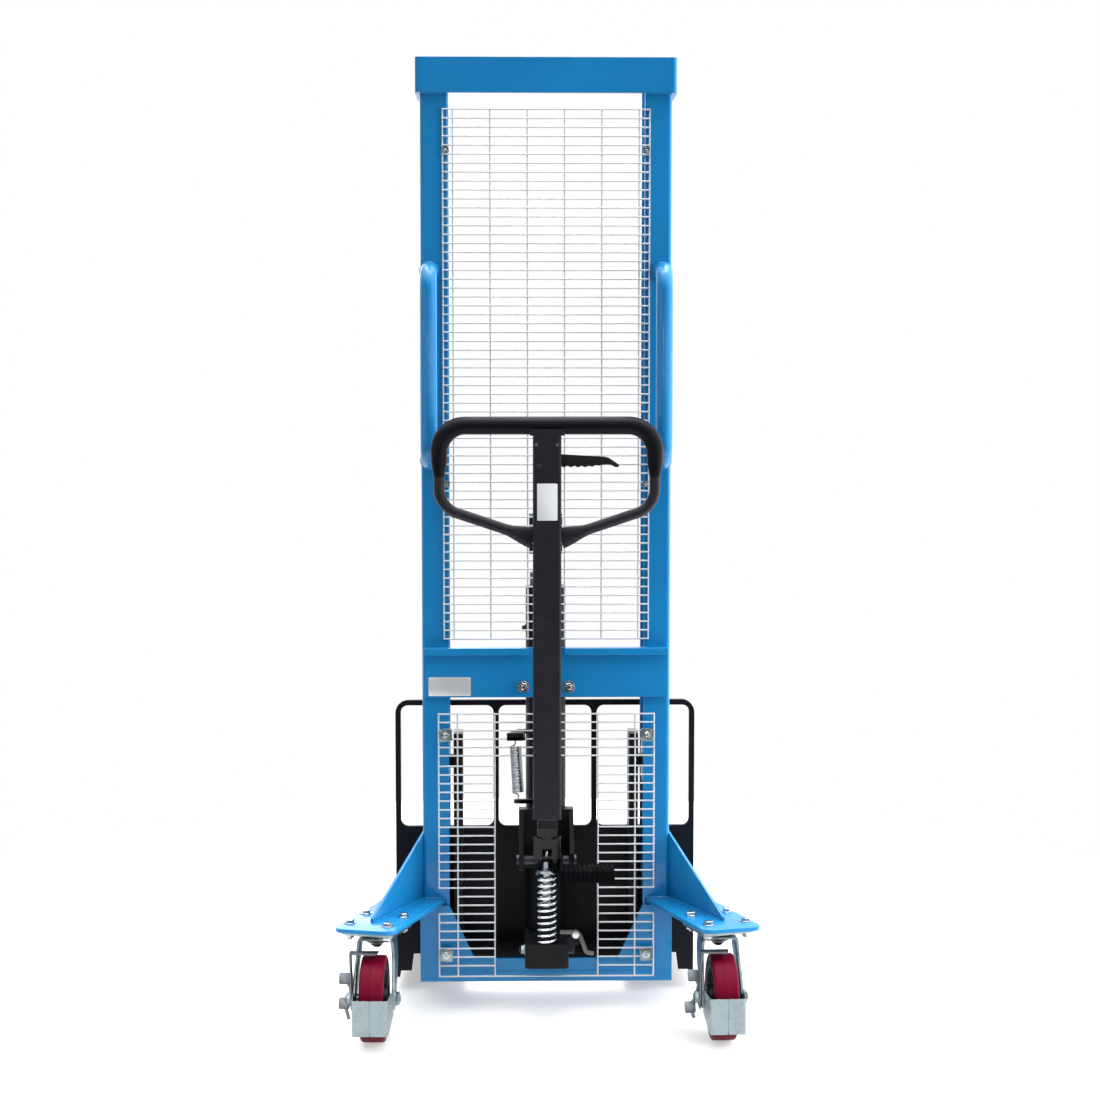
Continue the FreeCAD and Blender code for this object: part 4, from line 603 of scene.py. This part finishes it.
def fasteners():
    """Caster bolts with washers and nuts, and the U-bolt that holds the lift cylinder to the beam."""
    bm = bmesh.new()
    roll = 0
    for name, side in SIDES:
        for along in (-BOLT_SPREAD, BOLT_SPREAD):
            for across in (-BOLT_SPREAD, BOLT_SPREAD):
                roll += 17
                x, y = from_swivel(side, along, across)
                add_washer(bm, aimed(HOME, x, y, OUTRIGGER_TOP), 5, 12.5, BOLT_WASHER)
                add_hex(bm, aimed(HOME, x, y, OUTRIGGER_TOP + BOLT_WASHER, roll=roll), 10, 6.6, 1.4)
                add_hex(bm, aimed(HOME, x, y, PLATE_LOW, DOWNWARD, roll * 2), 10, BOLT_NUT)
                add_stud(bm, aimed(HOME, x, y, PLATE_LOW - BOLT_NUT, DOWNWARD), 5.8, 4)
        x, nut = side * U_BOLT_HALF, BEAM_REAR - U_BOLT_WASHER
        add_washer(bm, aimed(HOME, x, BEAM_REAR, U_BOLT_Z, BACKWARD), 6.2, 13, U_BOLT_WASHER)
        add_hex(bm, aimed(HOME, x, nut, U_BOLT_Z, BACKWARD, 12 * side), 10.5, U_BOLT_NUT, 1.4)
        add_stud(bm, aimed(HOME, x, nut - U_BOLT_NUT, U_BOLT_Z, BACKWARD), 6, 5)
    plan = ((-U_BOLT_HALF, -20), (-U_BOLT_HALF, 112), (U_BOLT_HALF, 112), (U_BOLT_HALF, -20))
    bar = rounded_route([(x, y, U_BOLT_Z) for x, y in plan], [49.9, 49.9], 14)
    add_rod(bm, HOME, bar, 6, 12)
    piece("frame_bolt_set", bm, "nut", "chassis", ["frame_bolts"])


CASTER_TURN = 2
TRAIL = 62
HUB_Z = 90


def caster_place(side):
    """The caster's own frame, on the floor under its swivel."""
    turn = Matrix.Rotation(math.radians(CASTER_TURN * side), 4, "Z")
    return HOME @ Matrix.Translation((SWIVEL_X * side, -SWIVEL_BACK, 0)) @ turn


def leg_edges(height):
    """Front and rear edge of a fork leg at a height."""
    front = [(68, -51), (72, -46), (79, -40), (172, 40)]
    rear = [(68, -73), (72, -79), (79, -84), (101, -84), (172, -40)]
    edges = []
    for line in (front, rear):
        place = line[-1][1]
        for (low, first), (high, second) in zip(line, line[1:]):
            if low <= height <= high:
                place = first + (second - first) * (height - low) / (high - low)
        edges.append(place)
    return edges


def caster_fork(name, side):
    """A pressed strap over the wheel with bowed legs, its swivel head, and the axle with its nuts."""
    place = caster_place(side)
    half = [(0, 207), (14, 207), (27, 207)]
    half += [(27 + 9 * math.sin(math.radians(turn)), 198 + 9 * math.cos(math.radians(turn)))
             for turn in (15, 30, 45, 60, 75)]
    half += [(36.1, 196), (36.9, 185), (37.8, 172), (38.9, 158), (40.0, 140), (40.4, 120), (40.5, 101), (40.5, 90),
             (40.5, 79), (40.5, 72), (40.5, 68)]
    line = [(-x, z) for x, z in half[:0:-1]] + half
    rings = []
    for index, (x, z) in enumerate(line):
        before = line[max(index - 1, 0)]
        after = line[min(index + 1, len(line) - 1)]
        run = math.hypot(after[0] - before[0], after[1] - before[1])
        off = Vector((-(after[1] - before[1]) / run * 3, 0, (after[0] - before[0]) / run * 3))
        front, rear = leg_edges(z)
        centre = Vector((x, 0, z))
        rings.append([place @ (centre + off + Vector((0, front, 0))), place @ (centre + off + Vector((0, rear, 0))),
                      place @ (centre - off + Vector((0, rear, 0))), place @ (centre - off + Vector((0, front, 0)))])
    bm = bmesh.new()
    soften(bm, add_loft(bm, rings), 1.2)
    for start, axis in ((43.5, RIGHTWARD), (-48.5, LEFTWARD)):
        add_washer(bm, aimed(place, start, -TRAIL, HUB_Z, axis), 8, 17, 2)
        seat = start + 2 * axis[0]
        add_hex(bm, aimed(place, seat, -TRAIL, HUB_Z, axis, 10), 14, 7, 1.5)
        add_stud(bm, aimed(place, seat + 7 * axis[0], -TRAIL, HUB_Z, axis), 8, 3)
    add_turned(bm, aimed(place, -48.5, -TRAIL, HUB_Z, RIGHTWARD), [(9.5, 0), (9.5, 92)], 20)
    piece("caster_fork_strap_" + name, bm, "zinc", "swivel_" + name, ["caster_fork_" + name])


def caster_mount(name, side):
    """The bolted plate with its ball race, and the kingpin's cup and nut below the fork's crown."""
    place = HOME @ Matrix.Translation((SWIVEL_X * side, -SWIVEL_BACK, 0)) @ Matrix.Rotation(SPLAY * side, 4, "Z")
    bm = bmesh.new()
    add_slab(bm, place, rounded_box(58, 58, 9), PLATE_LOW, OUTRIGGER_LOW - 0.1, 0.8)
    add_turned(bm, aimed(place, 0, 0, 210.5), [(12, 0), (34, 0), (36.5, 2), (37, 5), (34, 7.6), (12, 7.6)], 40, True)
    piece("caster_mount_plate_" + name, bm, "zinc", "chassis", ["caster_plate_" + name])
    bm = bmesh.new()
    add_turned(bm, aimed(place, 0, 0, 183.5), [(7, 0), (8, 0.6), (10, 3), (10.5, 6.5), (17, 9), (24, 13), (28, 17.5),
                                               (30, 19), (30, 20.4)], 32)
    add_hex(bm, aimed(place, 0, 0, 191.5, DOWNWARD, 15), 13, 4.5)
    piece("swivel_cup_" + name, bm, "dark", "chassis", ())


def caster_wheel(name, side):
    """The tread with its mould line, and the core with ribs on both faces."""
    place = aimed(caster_place(side), 0, -TRAIL, HUB_Z, RIGHTWARD)
    half = [(75.2, 25), (84.5, 25), (87.0, 24.2), (88.6, 22.4), (89.2, 19.5), (89.5, 10), (89.6, 1.6), (89.95, 0.7)]
    bm = bmesh.new()
    add_turned(bm, place, mirrored(half), 72, True)
    piece("caster_tread_" + name, bm, "tread", "wheel_" + name, ["caster_tyre_" + name])
    bm = bmesh.new()
    half = [(10.5, 31), (24, 31), (27, 29), (28.5, 12), (33, 9), (55, 8), (59, 11), (61, 23), (63, 24.6), (73, 24.6),
            (75.1, 23.6)]
    add_turned(bm, place, mirrored(half), 48, True)
    for index in range(8):
        spoke = aimed(place, 0, 0, 0, roll=45 * index)
        for face in (-1, 1):
            add_slab(bm, spoke, [(27, -2.5), (61, -2), (61, 2), (27, 2.5)], *sorted((face * 8, face * 17)), 0.8)
    piece("caster_hub_" + name, bm, "iron", "wheel_" + name, ["caster_core_" + name])


def caster_guard(name, side):
    """Two bent sheets with a seam behind the wheel, and flaps that widen towards the fork's legs."""
    place = caster_place(side)
    bm = bmesh.new()
    for hand in (1, -1):
        corners = [(hand * 42, -86, 0), (hand * 36.5, -162, 0), (hand * 0.9, -162, 0)]
        route = resampled(rounded_route(corners, [4.5], 6), 36)
        rings = []
        last = len(route) - 1
        for index, point in enumerate(route):
            heading = (route[min(index + 1, last)] - route[max(index - 1, 0)]).normalized()
            inner = point + Vector((heading.y, -heading.x, 0)) * (1.5 * hand)
            low = 39.0 + max(0.0, point.y + 145) * 0.42
            rings.append([place @ Vector((spot.x, spot.y, level))
                          for spot, level in ((point, low), (point, 113.0), (inner, 113.0), (inner, low))])
        add_loft(bm, rings)
    add_slab(bm, place, [(-8, -160.4), (8, -160.4), (8, -159.2), (-8, -159.2)], 41, 111)
    piece("caster_toe_guard_" + name, bm, "zinc", "swivel_" + name, ["caster_guard_" + name], 50.0)


BRAKE_TABS = {"left": ((-61, 133.5), (-62, 81)), "right": ((-61, 137), (-67, 70))}


def caster_brake(name, side):
    """A foot lever on the axle, with an upper and a lower tab on a bent arm, and a shoe over the tread."""
    place = caster_place(side)
    plane = side_plane(place)
    bm = bmesh.new()
    blade = [(-55, 66), (-45, 76), (-41, 90), (-44, 108), (-50, 131), (-66, 150), (-74, 190), (-74, 194), (-98, 194),
             (-98, 184), (-88, 150), (-84, 128), (-84, 96), (-79, 78), (-69, 66)]
    add_slab(bm, plane, blade, -48.3, -44.7, 0.8)
    shoe = [(-48.3, -98), (8, -98), (12, -74), (-48.3, -74)]
    add_slab(bm, place, shoe, 190.2, 194, 1.0)
    upper, lower = BRAKE_TABS[name]
    for across, height in (upper, lower):
        tab = aimed(place, across, -68, height, (0, -0.84, 0.54))
        add_slab(bm, tab, rounded_box(11.5, 12.5, 4.5), -2, 2, 1.0)
    facing = aimed(place, 0, -64, 0, BACKWARD)
    bends = [upper, (upper[0] + 12, upper[1] - 20), (lower[0] + 13, lower[1] + 22), lower, (lower[0] + 9, 46)]
    route = resampled(rounded_route([(x, z, 0) for x, z in bends], [12, 14, 5], 8), 40)
    add_slab(bm, facing, ribbon([(point.x, point.y) for point in route], 3.4), -2, 2, 0.8)
    piece("caster_brake_lever_" + name, bm, "brake", "brake_" + name, ["caster_brake_" + name])


CHAIN_Y = 68
CHAIN_Z = 1068
CHAIN_REACH = 56.3
CHAIN_ANCHOR_Z = 797
CHAIN_END_Z = 208
LINK_ROUND = 4.6
LINK_HALF = 1.45
LINK_EVEN = (-9, -3, 3, 9)
LINK_ODD = (-6, 0, 6)


def add_links(bm, pins):
    """Leaf chain: stacked plates from pin to pin, in turn inside and outside."""
    for index, (first, second) in enumerate(zip(pins, pins[1:])):
        run = second - first
        pitch = run.length
        middle = aimed(HOME, 0, first.y, first.z, RIGHTWARD)
        along = (middle.inverted() @ (HOME @ second)).to_2d()
        frame_turn = math.degrees(math.atan2(along.y, along.x))
        link = aimed(HOME, 0, first.y, first.z, RIGHTWARD, frame_turn)
        bend = [(LINK_ROUND * math.sin(math.pi * step / 5), LINK_ROUND * math.cos(math.pi * step / 5))
                for step in range(6)]
        outline = [(-x, y) for x, y in bend] + [(pitch + x, -y) for x, y in bend]
        for middle_x in LINK_ODD if index % 2 else LINK_EVEN:
            add_slab(bm, link, outline, middle_x - LINK_HALF, middle_x + LINK_HALF)
    for pin in pins:
        add_turned(bm, aimed(HOME, -12, pin.y, pin.z, RIGHTWARD), [(1.6, 0), (2.4, 0.5), (2.4, 23.5), (1.6, 24)], 10)


def lift_chain():
    """The strand from the beam, the strand to the carriage, and the turn over the pulley."""
    bm = bmesh.new()
    rear, front = CHAIN_Y - CHAIN_REACH, CHAIN_Y + CHAIN_REACH
    add_links(bm, [Vector((0, rear, height)) for height in spaced(CHAIN_ANCHOR_Z, CHAIN_Z, 18)])
    fixed = piece("chain_fixed_links", bm, "dark", None, ["chain_fixed"])
    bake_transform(fixed)
    bm = bmesh.new()
    add_links(bm, [Vector((0, front, height)) for height in spaced(CHAIN_END_Z, CHAIN_Z, 56)])
    free = piece("chain_free_links", bm, "dark", "rod", ["chain_free"])
    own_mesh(free)
    bm = bmesh.new()
    turns = [math.pi * step / 11 for step in range(12)]
    add_links(bm, [Vector((0, CHAIN_Y - CHAIN_REACH * math.cos(turn), CHAIN_Z + CHAIN_REACH * math.sin(turn)))
                   for turn in turns])
    piece("chain_wrap_links", bm, "dark", "rod", ["chain_wrap"])


TILLER_Y = -112
TILLER_HALF = 30
TILLER_REAR = -134
LOOP_HALF = 228
LOOP_TOP = 1278


def handle_loop():
    """The lower arms of the loop, flattened where they meet the tiller."""
    bm = bmesh.new()
    for name, side in SIDES:
        route = rounded_route([(side * 28, TILLER_Y, 1039), (side * LOOP_HALF, TILLER_Y, 1106),
                               (side * LOOP_HALF, TILLER_Y, 1200)], [54], 14)
        route = resampled(route, 60)
        shares = [eased(min(1.0, index / 14)) for index in range(61)]
        across = [22.0 - 10.5 * share for share in shares]
        deep = [7.0 + 4.5 * share for share in shares]
        add_bar(bm, HOME, route, (0, 1, 0), across, deep, 20)
    top = [Vector((x, TILLER_Y, LOOP_TOP)) for x in (-150.0, 150.0)]
    add_rod(bm, HOME, top, 11.5, 16)
    piece("handle_loop_tube", bm, "tiller", "tiller", ["handle_loop"])


def handle_grip():
    """A padded sleeve that is thickest along the top and tapers at its ends."""
    route = rounded_route([(-LOOP_HALF, TILLER_Y, 1170), (-LOOP_HALF, TILLER_Y, LOOP_TOP),
                           (LOOP_HALF, TILLER_Y, LOOP_TOP), (LOOP_HALF, TILLER_Y, 1170)], [56, 56], 16)
    count = 120
    route = resampled(route, count)
    length = sum((second - first).length for first, second in zip(route, route[1:]))
    sizes = []
    for index in range(count + 1):
        along = length * min(index, count - index) / count
        end = min(1.0, along / 34)
        rise = max(0.0, min(1.0, (along - 20) / 70))
        sizes.append(12.3 + 4.6 * eased(end) + 2.3 * eased(rise))
    sizes[0] = sizes[-1] = 11.6
    bm = bmesh.new()
    add_bar(bm, HOME, route, (0, 1, 0), sizes, sizes, 24)
    piece("handle_grip_sleeve", bm, "rubber", "tiller", ["handle_grip"], 50.0)


def hand_lever():
    """The lowering lever: a moulded blade with finger waves and a turned-down tip."""
    steps = 44
    wave = []
    for step in range(steps + 1):
        x = 24 + (128 - 24) * step / steps
        rise = max(0.0, (x - 88) / 40)
        wave.append((x, 1191.4 + 1.5 * math.sin((x - 24) / 15.0 * 2 * math.pi) * (1 - min(1.0, rise)) + 5.0 * rise))
    tip = [(136, 1194.5), (143, 1190.8), (148, 1190.0), (152, 1191.6), (152.5, 1194.5), (150, 1197.2), (139, 1204.5),
           (130, 1210.4), (122, 1212.4), (80, 1215.0), (24, 1218.0), (10, 1218.0), (10, 1196)]
    bm = bmesh.new()
    plane = aimed(HOME, 0, TILLER_Y, 0, BACKWARD)
    add_slab(bm, plane, wave + tip, -4.8, 4.8, 2.0)
    piece("hand_lever_blade", bm, "plastic", "lever", ["hand_lever"])


def tiller_details():
    """Screws that hold the handle's head, the grommet of the lever's pin, and a plain pale plate."""
    bm = bmesh.new()
    for x in (-23, 21):
        head = aimed(HOME, x, TILLER_REAR, 1237.5, BACKWARD)
        add_turned(bm, head, [(3.4, 0), (3.2, 1.0), (2.0, 1.8), (0.7, 2.0)], 16)
    grommet = aimed(HOME, -17, TILLER_REAR, 1193.5, BACKWARD)
    add_turned(bm, grommet, [(2.4, 0), (4.4, 0), (4.0, 1.2), (2.8, 1.2)], 20, True)
    piece("tiller_screws", bm, "strip", "tiller", ())
    bm = bmesh.new()
    plane = aimed(HOME, 0, TILLER_REAR, 1117.5, BACKWARD)
    add_slab(bm, plane, rounded_box(21.5, 39, 2.0), 0.0, 0.6, 0.2)
    piece("tiller_bare_plate", bm, "label", "tiller")


def rocker_facets():
    """Raised cheeks on the rocker's slanted rear face, and the screw that sets the pump's stroke."""
    slant = aimed(HOME, 0, -112, 382.5, (0, -0.868, -0.496))
    bm = bmesh.new()
    for name, side in SIDES:
        cheek = [(29, 26), (9, 17), (11, -30), (16, -40), (24, -40), (29, -30)]
        add_slab(bm, slant, [(side * x, y) for x, y in cheek], -1.0, 5.0, 1.4)
    piece("rocker_cheeks", bm, "casting", "tiller", ())
    bm = bmesh.new()
    add_turned(bm, aimed(HOME, -1, -100, 355), [(2.0, 0), (3.2, 1), (3.2, 4), (2.4, 5), (3.4, 6), (3.4, 10.5),
                                                (2.6, 12), (0.8, 12.4)], 20)
    piece("rocker_screw", bm, "chrome", "tiller", ())


PIVOT_Y = -28
PIVOT_Z = 330
PEDAL_HUB = 20


def foot_pedal():
    """A rubber pad with ribs all round, on the arm that turns with the rocker."""
    bm = bmesh.new()
    plane = side_plane(HOME)
    ring = [(PIVOT_Y + spot.x, PIVOT_Z + spot.y) for spot in circle(PEDAL_HUB, 0, 28)]
    hub = [(12.3, 0), (PEDAL_HUB, 0), (PEDAL_HUB, 14.5), (12.3, 14.5)]
    add_turned(bm, aimed(HOME, 21.2, PIVOT_Y, PIVOT_Z, RIGHTWARD), hub, 32, True)
    arm = ring[-7:] + ring[:8] + [(-50, 349), (-90, 341), (-140, 337), (-150, 334), (-150, 314), (-140, 312),
                                  (-90, 312), (-48, 311)]
    add_slab(bm, plane, arm, 27.2, 34.8, 1.0)
    add_slab(bm, plane, [(-163, 312), (-97, 312), (-97, 335.5), (-163, 335.5)], 34.8, 143, 2.0)
    count = 11
    pitch = 109.0 / count
    for index in range(count):
        low = 36.0 + pitch * index
        add_slab(bm, plane, [(-165, 310.4), (-95, 310.4), (-95, 338), (-165, 338)], low, low + pitch * 0.62, 1.6)
    piece("foot_pedal_pad", bm, "pad", "tiller", ["foot_pedal"])


def release_lever():
    """The bent strip that the hand lever's cable pulls, on its bright pin."""
    line = [Vector((28, 187, 0)), Vector((69, 186, 0)), Vector((85, 142, 0)), Vector((101, 139, 0))]
    route = [(point.x, point.y) for point in resampled(rounded_route(line, [14, 7], 8), 40)]
    bm = bmesh.new()
    plane = aimed(HOME, 0, -88, 0, BACKWARD)
    add_slab(bm, plane, ribbon(route, 4.6), -2.4, 2.4, 0.9)
    add_turned(bm, aimed(HOME, 62, -85.7, 181, BACKWARD), [(4.1, 0), (9, 0), (9, 4.6), (4.1, 4.6)], 24, True)
    piece("release_strip", bm, "strip", "release", ["release_lever"])
    bm = bmesh.new()
    add_turned(bm, aimed(HOME, 62, -90.6, 181, BACKWARD), [(8, 0), (8, 2.2), (7.2, 3.2), (3, 3.6)], 24)
    piece("release_pin_head", bm, "nut", "chassis", ())


PLUG_Y = -62
PLUG_Z = 142


def pump_fittings():
    """Hex plugs and seats on the pump block, and the bleed nipple on the lift cylinder."""
    bm = bmesh.new()
    add_turned(bm, aimed(HOME, -46.8, PLUG_Y, PLUG_Z, LEFTWARD), [(12, 0), (12, 2.0), (11.2, 2.8), (8, 3.0)], 28)
    add_hex(bm, aimed(HOME, -49.6, PLUG_Y, PLUG_Z, LEFTWARD, 8), 10.2, 6.5, 1.4)
    add_turned(bm, aimed(HOME, -56.1, PLUG_Y, PLUG_Z, LEFTWARD), [(6.0, 0), (6.0, 3.2), (5.0, 4.2), (1.5, 4.4)], 20)
    piece("pump_plug", bm, "zinc", "chassis", ())
    bm = bmesh.new()
    add_hex(bm, aimed(HOME, 46.8, PLUG_Y, PLUG_Z, RIGHTWARD, 20), 10.4, 13.6, 1.6)
    nipple = [(9, 0), (9, 2.4), (6.4, 2.6), (6.4, 7.5), (5.2, 8.6), (2.0, 8.8)]
    add_turned(bm, aimed(HOME, -43.6, 62, 830, LEFTWARD), nipple, 6)
    collar = [(10.4, -0.6), (16.2, -0.6), (16.2, 2.0), (15, 3.2), (11.2, 3.2)]
    add_turned(bm, aimed(HOME, 0, PUMP_Y, 236), collar, 32, True)
    piece("pump_dark_fittings", bm, "dark", "chassis", ())


def bare_plate():
    """The plain aluminium plate on the beam, held by four rivets."""
    bm = bmesh.new()
    plane = aimed(HOME, -210, BEAM_REAR, 710, BACKWARD)
    add_slab(bm, plane, rounded_box(46, 20.5, 2.0), 0.0, 0.9, 0.25)
    for x in (-42.5, 42.5):
        for z in (-17, 17):
            add_turned(bm, aimed(plane, x, z, 0.9), [(2.2, 0), (2.0, 0.6), (1.2, 1.0), (0.4, 1.1)], 14)
    piece("beam_bare_plate", bm, "plate", "chassis", ())


def add_bead(bm, start, end, radius=3.0):
    """A weld bead: a rippled rod sunk into the corner."""
    start, end = Vector(start), Vector(end)
    count = max(6, int((end - start).length / 3))
    points = [start.lerp(end, step / count) for step in range(count + 1)]
    sizes = [radius * (0.92 + 0.12 * math.sin(step * 2.1) + 0.05 * math.sin(step * 0.73))
             for step in range(count + 1)]
    sizes[0] = sizes[-1] = radius * 0.45
    add_rod(bm, HOME, points, sizes, 8)


MAST_OUT = 270
BOW_X = 251
BOW_ENDS = (1201, 1607)
BOW_BEAD = 18.5


def welds():
    """Beads along the outriggers, the beam and the strap, and round the ends of the bow handles."""
    bm = bmesh.new()
    for name, side in SIDES:
        for off in (-WEB_HALF - 0.4, WEB_HALF + 0.4):
            start, end = along_web(side, 0.02, off), along_web(side, 0.98, off)
            add_bead(bm, start + (OUTRIGGER_TOP,), end + (OUTRIGGER_TOP,))
            back = WEB_ROOT.y + off
            add_bead(bm, (side * MAST_OUT, back, OUTRIGGER_TOP + 4), (side * MAST_OUT, back, 380), 2.6)
        add_bead(bm, (side * 220, 0, OUTRIGGER_TOP), (side * 268, 0, OUTRIGGER_TOP))
        add_bead(bm, (side * MAST_OUT, 2, OUTRIGGER_TOP), (side * MAST_OUT, 72, OUTRIGGER_TOP))
        add_bead(bm, (side * 264.5, -1, 690), (side * 264.5, -1, 791), 3.2)
        add_bead(bm, (side * 216, -1, 1985), (side * 266, -1, 1985), 2.4)
        for height in BOW_ENDS:
            ring = [Vector((side * BOW_X + spot.x, -1.0, height + spot.y)) for spot in circle(BOW_BEAD, 0, 40)]
            sizes = [2.8 + 0.4 * math.sin(step * 2.1) for step in range(40)]
            add_rod(bm, HOME, ring + ring[:1], sizes + sizes[:1], 8)
    piece("weld_beads", bm, "blue", "chassis", (), 60.0)


upper_guard()
lower_guard()
guard_holders()
pump_spring()
return_spring()
fasteners()
for name, side in SIDES:
    outrigger_arm(name, side)
    caster_mount(name, side)
    caster_fork(name, side)
    caster_wheel(name, side)
    caster_guard(name, side)
    caster_brake(name, side)
lift_chain()
handle_loop()
handle_grip()
hand_lever()
tiller_details()
rocker_facets()
foot_pedal()
release_lever()
pump_fittings()
bare_plate()
welds()

CAMERA_PLACE = at(-81.9, -4500.0, 1340.4)
PITCH_DOWN = 4.24
YAW_RIGHT = 1.15
FOCAL_PIXELS = 2079.4
FRAME_PIXELS = 1100.0
# Each lamp's name, place, aim, size and power, in metres and watts.
LAMPS = (
    ("key", (4.8, -0.9, 2.0), (0, -0.3, 0.6), (3.8, 3.8), 390.0),
    ("fill", (-3.8, -2.8, 1.6), (0, -0.3, 0.7), (2.4, 2.4), 18.0),
    ("top", (0.2, 0.4, 4.4), (0, 0.2, 0.6), (3.4, 3.4), 230.0),
    ("back", (-1.0, 4.2, 2.6), (0, 0, 1.0), (2.5, 2.5), 60.0),
    ("window_left", (-1.35, -5.3, 1.52), (0, -0.8, 1.4), (0.36, 0.36), 10.0),
    ("window_right", (2.2, -5.3, 1.52), (0, -0.8, 1.4), (0.36, 0.36), 10.0),
    ("window_high", (-0.9, -5.0, 4.2), (0, -0.3, 0.9), (0.9, 0.6), 10.0),
)

# The room's glow: an axis, where it starts and ends along it, and its strength there.
GLOWS = (
    ("X", 0.4, 0.95, 0.0, 1.8),
    ("X", -0.3, -0.9, 0.0, 0.30),
    ("Z", 0.45, 0.95, 0.0, 3.2),
    ("Y", -0.1, 0.7, 0.05, 1.1),
)
FLOOR_RADIUS = 1.9
FLOOR_DROP = 0.0005


def world_light():
    """A white backdrop for the camera, and for other rays the glow of a room."""
    world = bpy.data.worlds.new("studio")
    bpy.context.scene.world = world
    world.use_nodes = True
    tree = world.node_tree
    parts = tree.nodes.new("ShaderNodeSeparateXYZ")
    tree.links.new(tree.nodes.new("ShaderNodeTexCoord").outputs["Generated"], parts.inputs[0])
    total = None
    for axis, low, high, dim, bright in GLOWS:
        span = tree.nodes.new("ShaderNodeMapRange")
        span.interpolation_type = "SMOOTHSTEP"
        tree.links.new(parts.outputs[axis], span.inputs[0])
        for index, value in enumerate((low, high, dim, bright), start=1):
            span.inputs[index].default_value = value
        if total is None:
            total = span.outputs[0]
            continue
        add = tree.nodes.new("ShaderNodeMath")
        tree.links.new(total, add.inputs[0])
        tree.links.new(span.outputs[0], add.inputs[1])
        total = add.outputs[0]
    mix = tree.nodes.new("ShaderNodeMix")
    mix.data_type = "RGBA"
    tree.links.new(tree.nodes.new("ShaderNodeLightPath").outputs["Is Camera Ray"], mix.inputs[0])
    tree.links.new(total, mix.inputs[6])
    mix.inputs[7].default_value = (1.0, 1.0, 1.0, 1.0)
    tree.links.new(mix.outputs[2], tree.nodes["Background"].inputs["Color"])


def studio():
    """The lamps, the floor, whose painted glow lifts the shadows under the object and grows towards its rim, and the
    camera at the photograph's angle.
    """
    scene = bpy.context.scene
    scene.view_settings.view_transform = "Standard"
    world_light()
    for name, place, aim, size, power in LAMPS:
        lamp = bpy.data.lights.new(name, "AREA")
        lamp.shape = "ELLIPSE"
        lamp.size, lamp.size_y = size
        lamp.energy = power
        thing = bpy.data.objects.new(name, lamp)
        thing.location = place
        thing.rotation_euler = (Vector(aim) - Vector(place)).to_track_quat("-Z", "Y").to_euler()
        # The key lamp lights the paint but isn't mirrored in it.
        thing.visible_glossy = name != "key"
        scene.collection.objects.link(thing)
    bm = bmesh.new()
    bmesh.ops.create_circle(bm, cap_ends=True, segments=96, radius=FLOOR_RADIUS)
    mesh = bpy.data.meshes.new("floor")
    bm.to_mesh(mesh)
    bm.free()
    floor = bpy.data.objects.new("floor", mesh)
    floor.location.z = -FLOOR_DROP
    scene.collection.objects.link(floor)
    n = Nodes("glow_lit_floor")
    n.put(n.shader.inputs["Base Color"], n.mix(n.noise(3.0), (0.41, 0.41, 0.41, 1.0), (0.44, 0.44, 0.44, 1.0)))
    n.shader.inputs["Roughness"].default_value = 0.7
    n.shader.inputs["Emission Color"].default_value = (1.0, 1.0, 1.0, 1.0)
    distance = n.tree.nodes.new("ShaderNodeVectorMath")
    distance.operation = "LENGTH"
    n.put(distance.inputs[0], n.place)
    # Painted light: the floor's own emission lifts the shadows cast on it and brightens towards the rim.
    n.put(n.shader.inputs["Emission Strength"], n.span(distance.outputs["Value"], 0.7, 1.8, 0.42, 0.75))
    mesh.materials.append(n.material)
    lens = bpy.data.cameras.new("camera")
    lens.sensor_fit = "HORIZONTAL"
    lens.sensor_width = 36.0
    lens.lens = lens.sensor_width * FOCAL_PIXELS / FRAME_PIXELS
    camera = bpy.data.objects.new("camera", lens)
    camera.location = CAMERA_PLACE
    camera.rotation_euler = (math.radians(90.0 - PITCH_DOWN), 0.0, math.radians(-YAW_RIGHT))
    scene.collection.objects.link(camera)
    scene.camera = camera


studio()
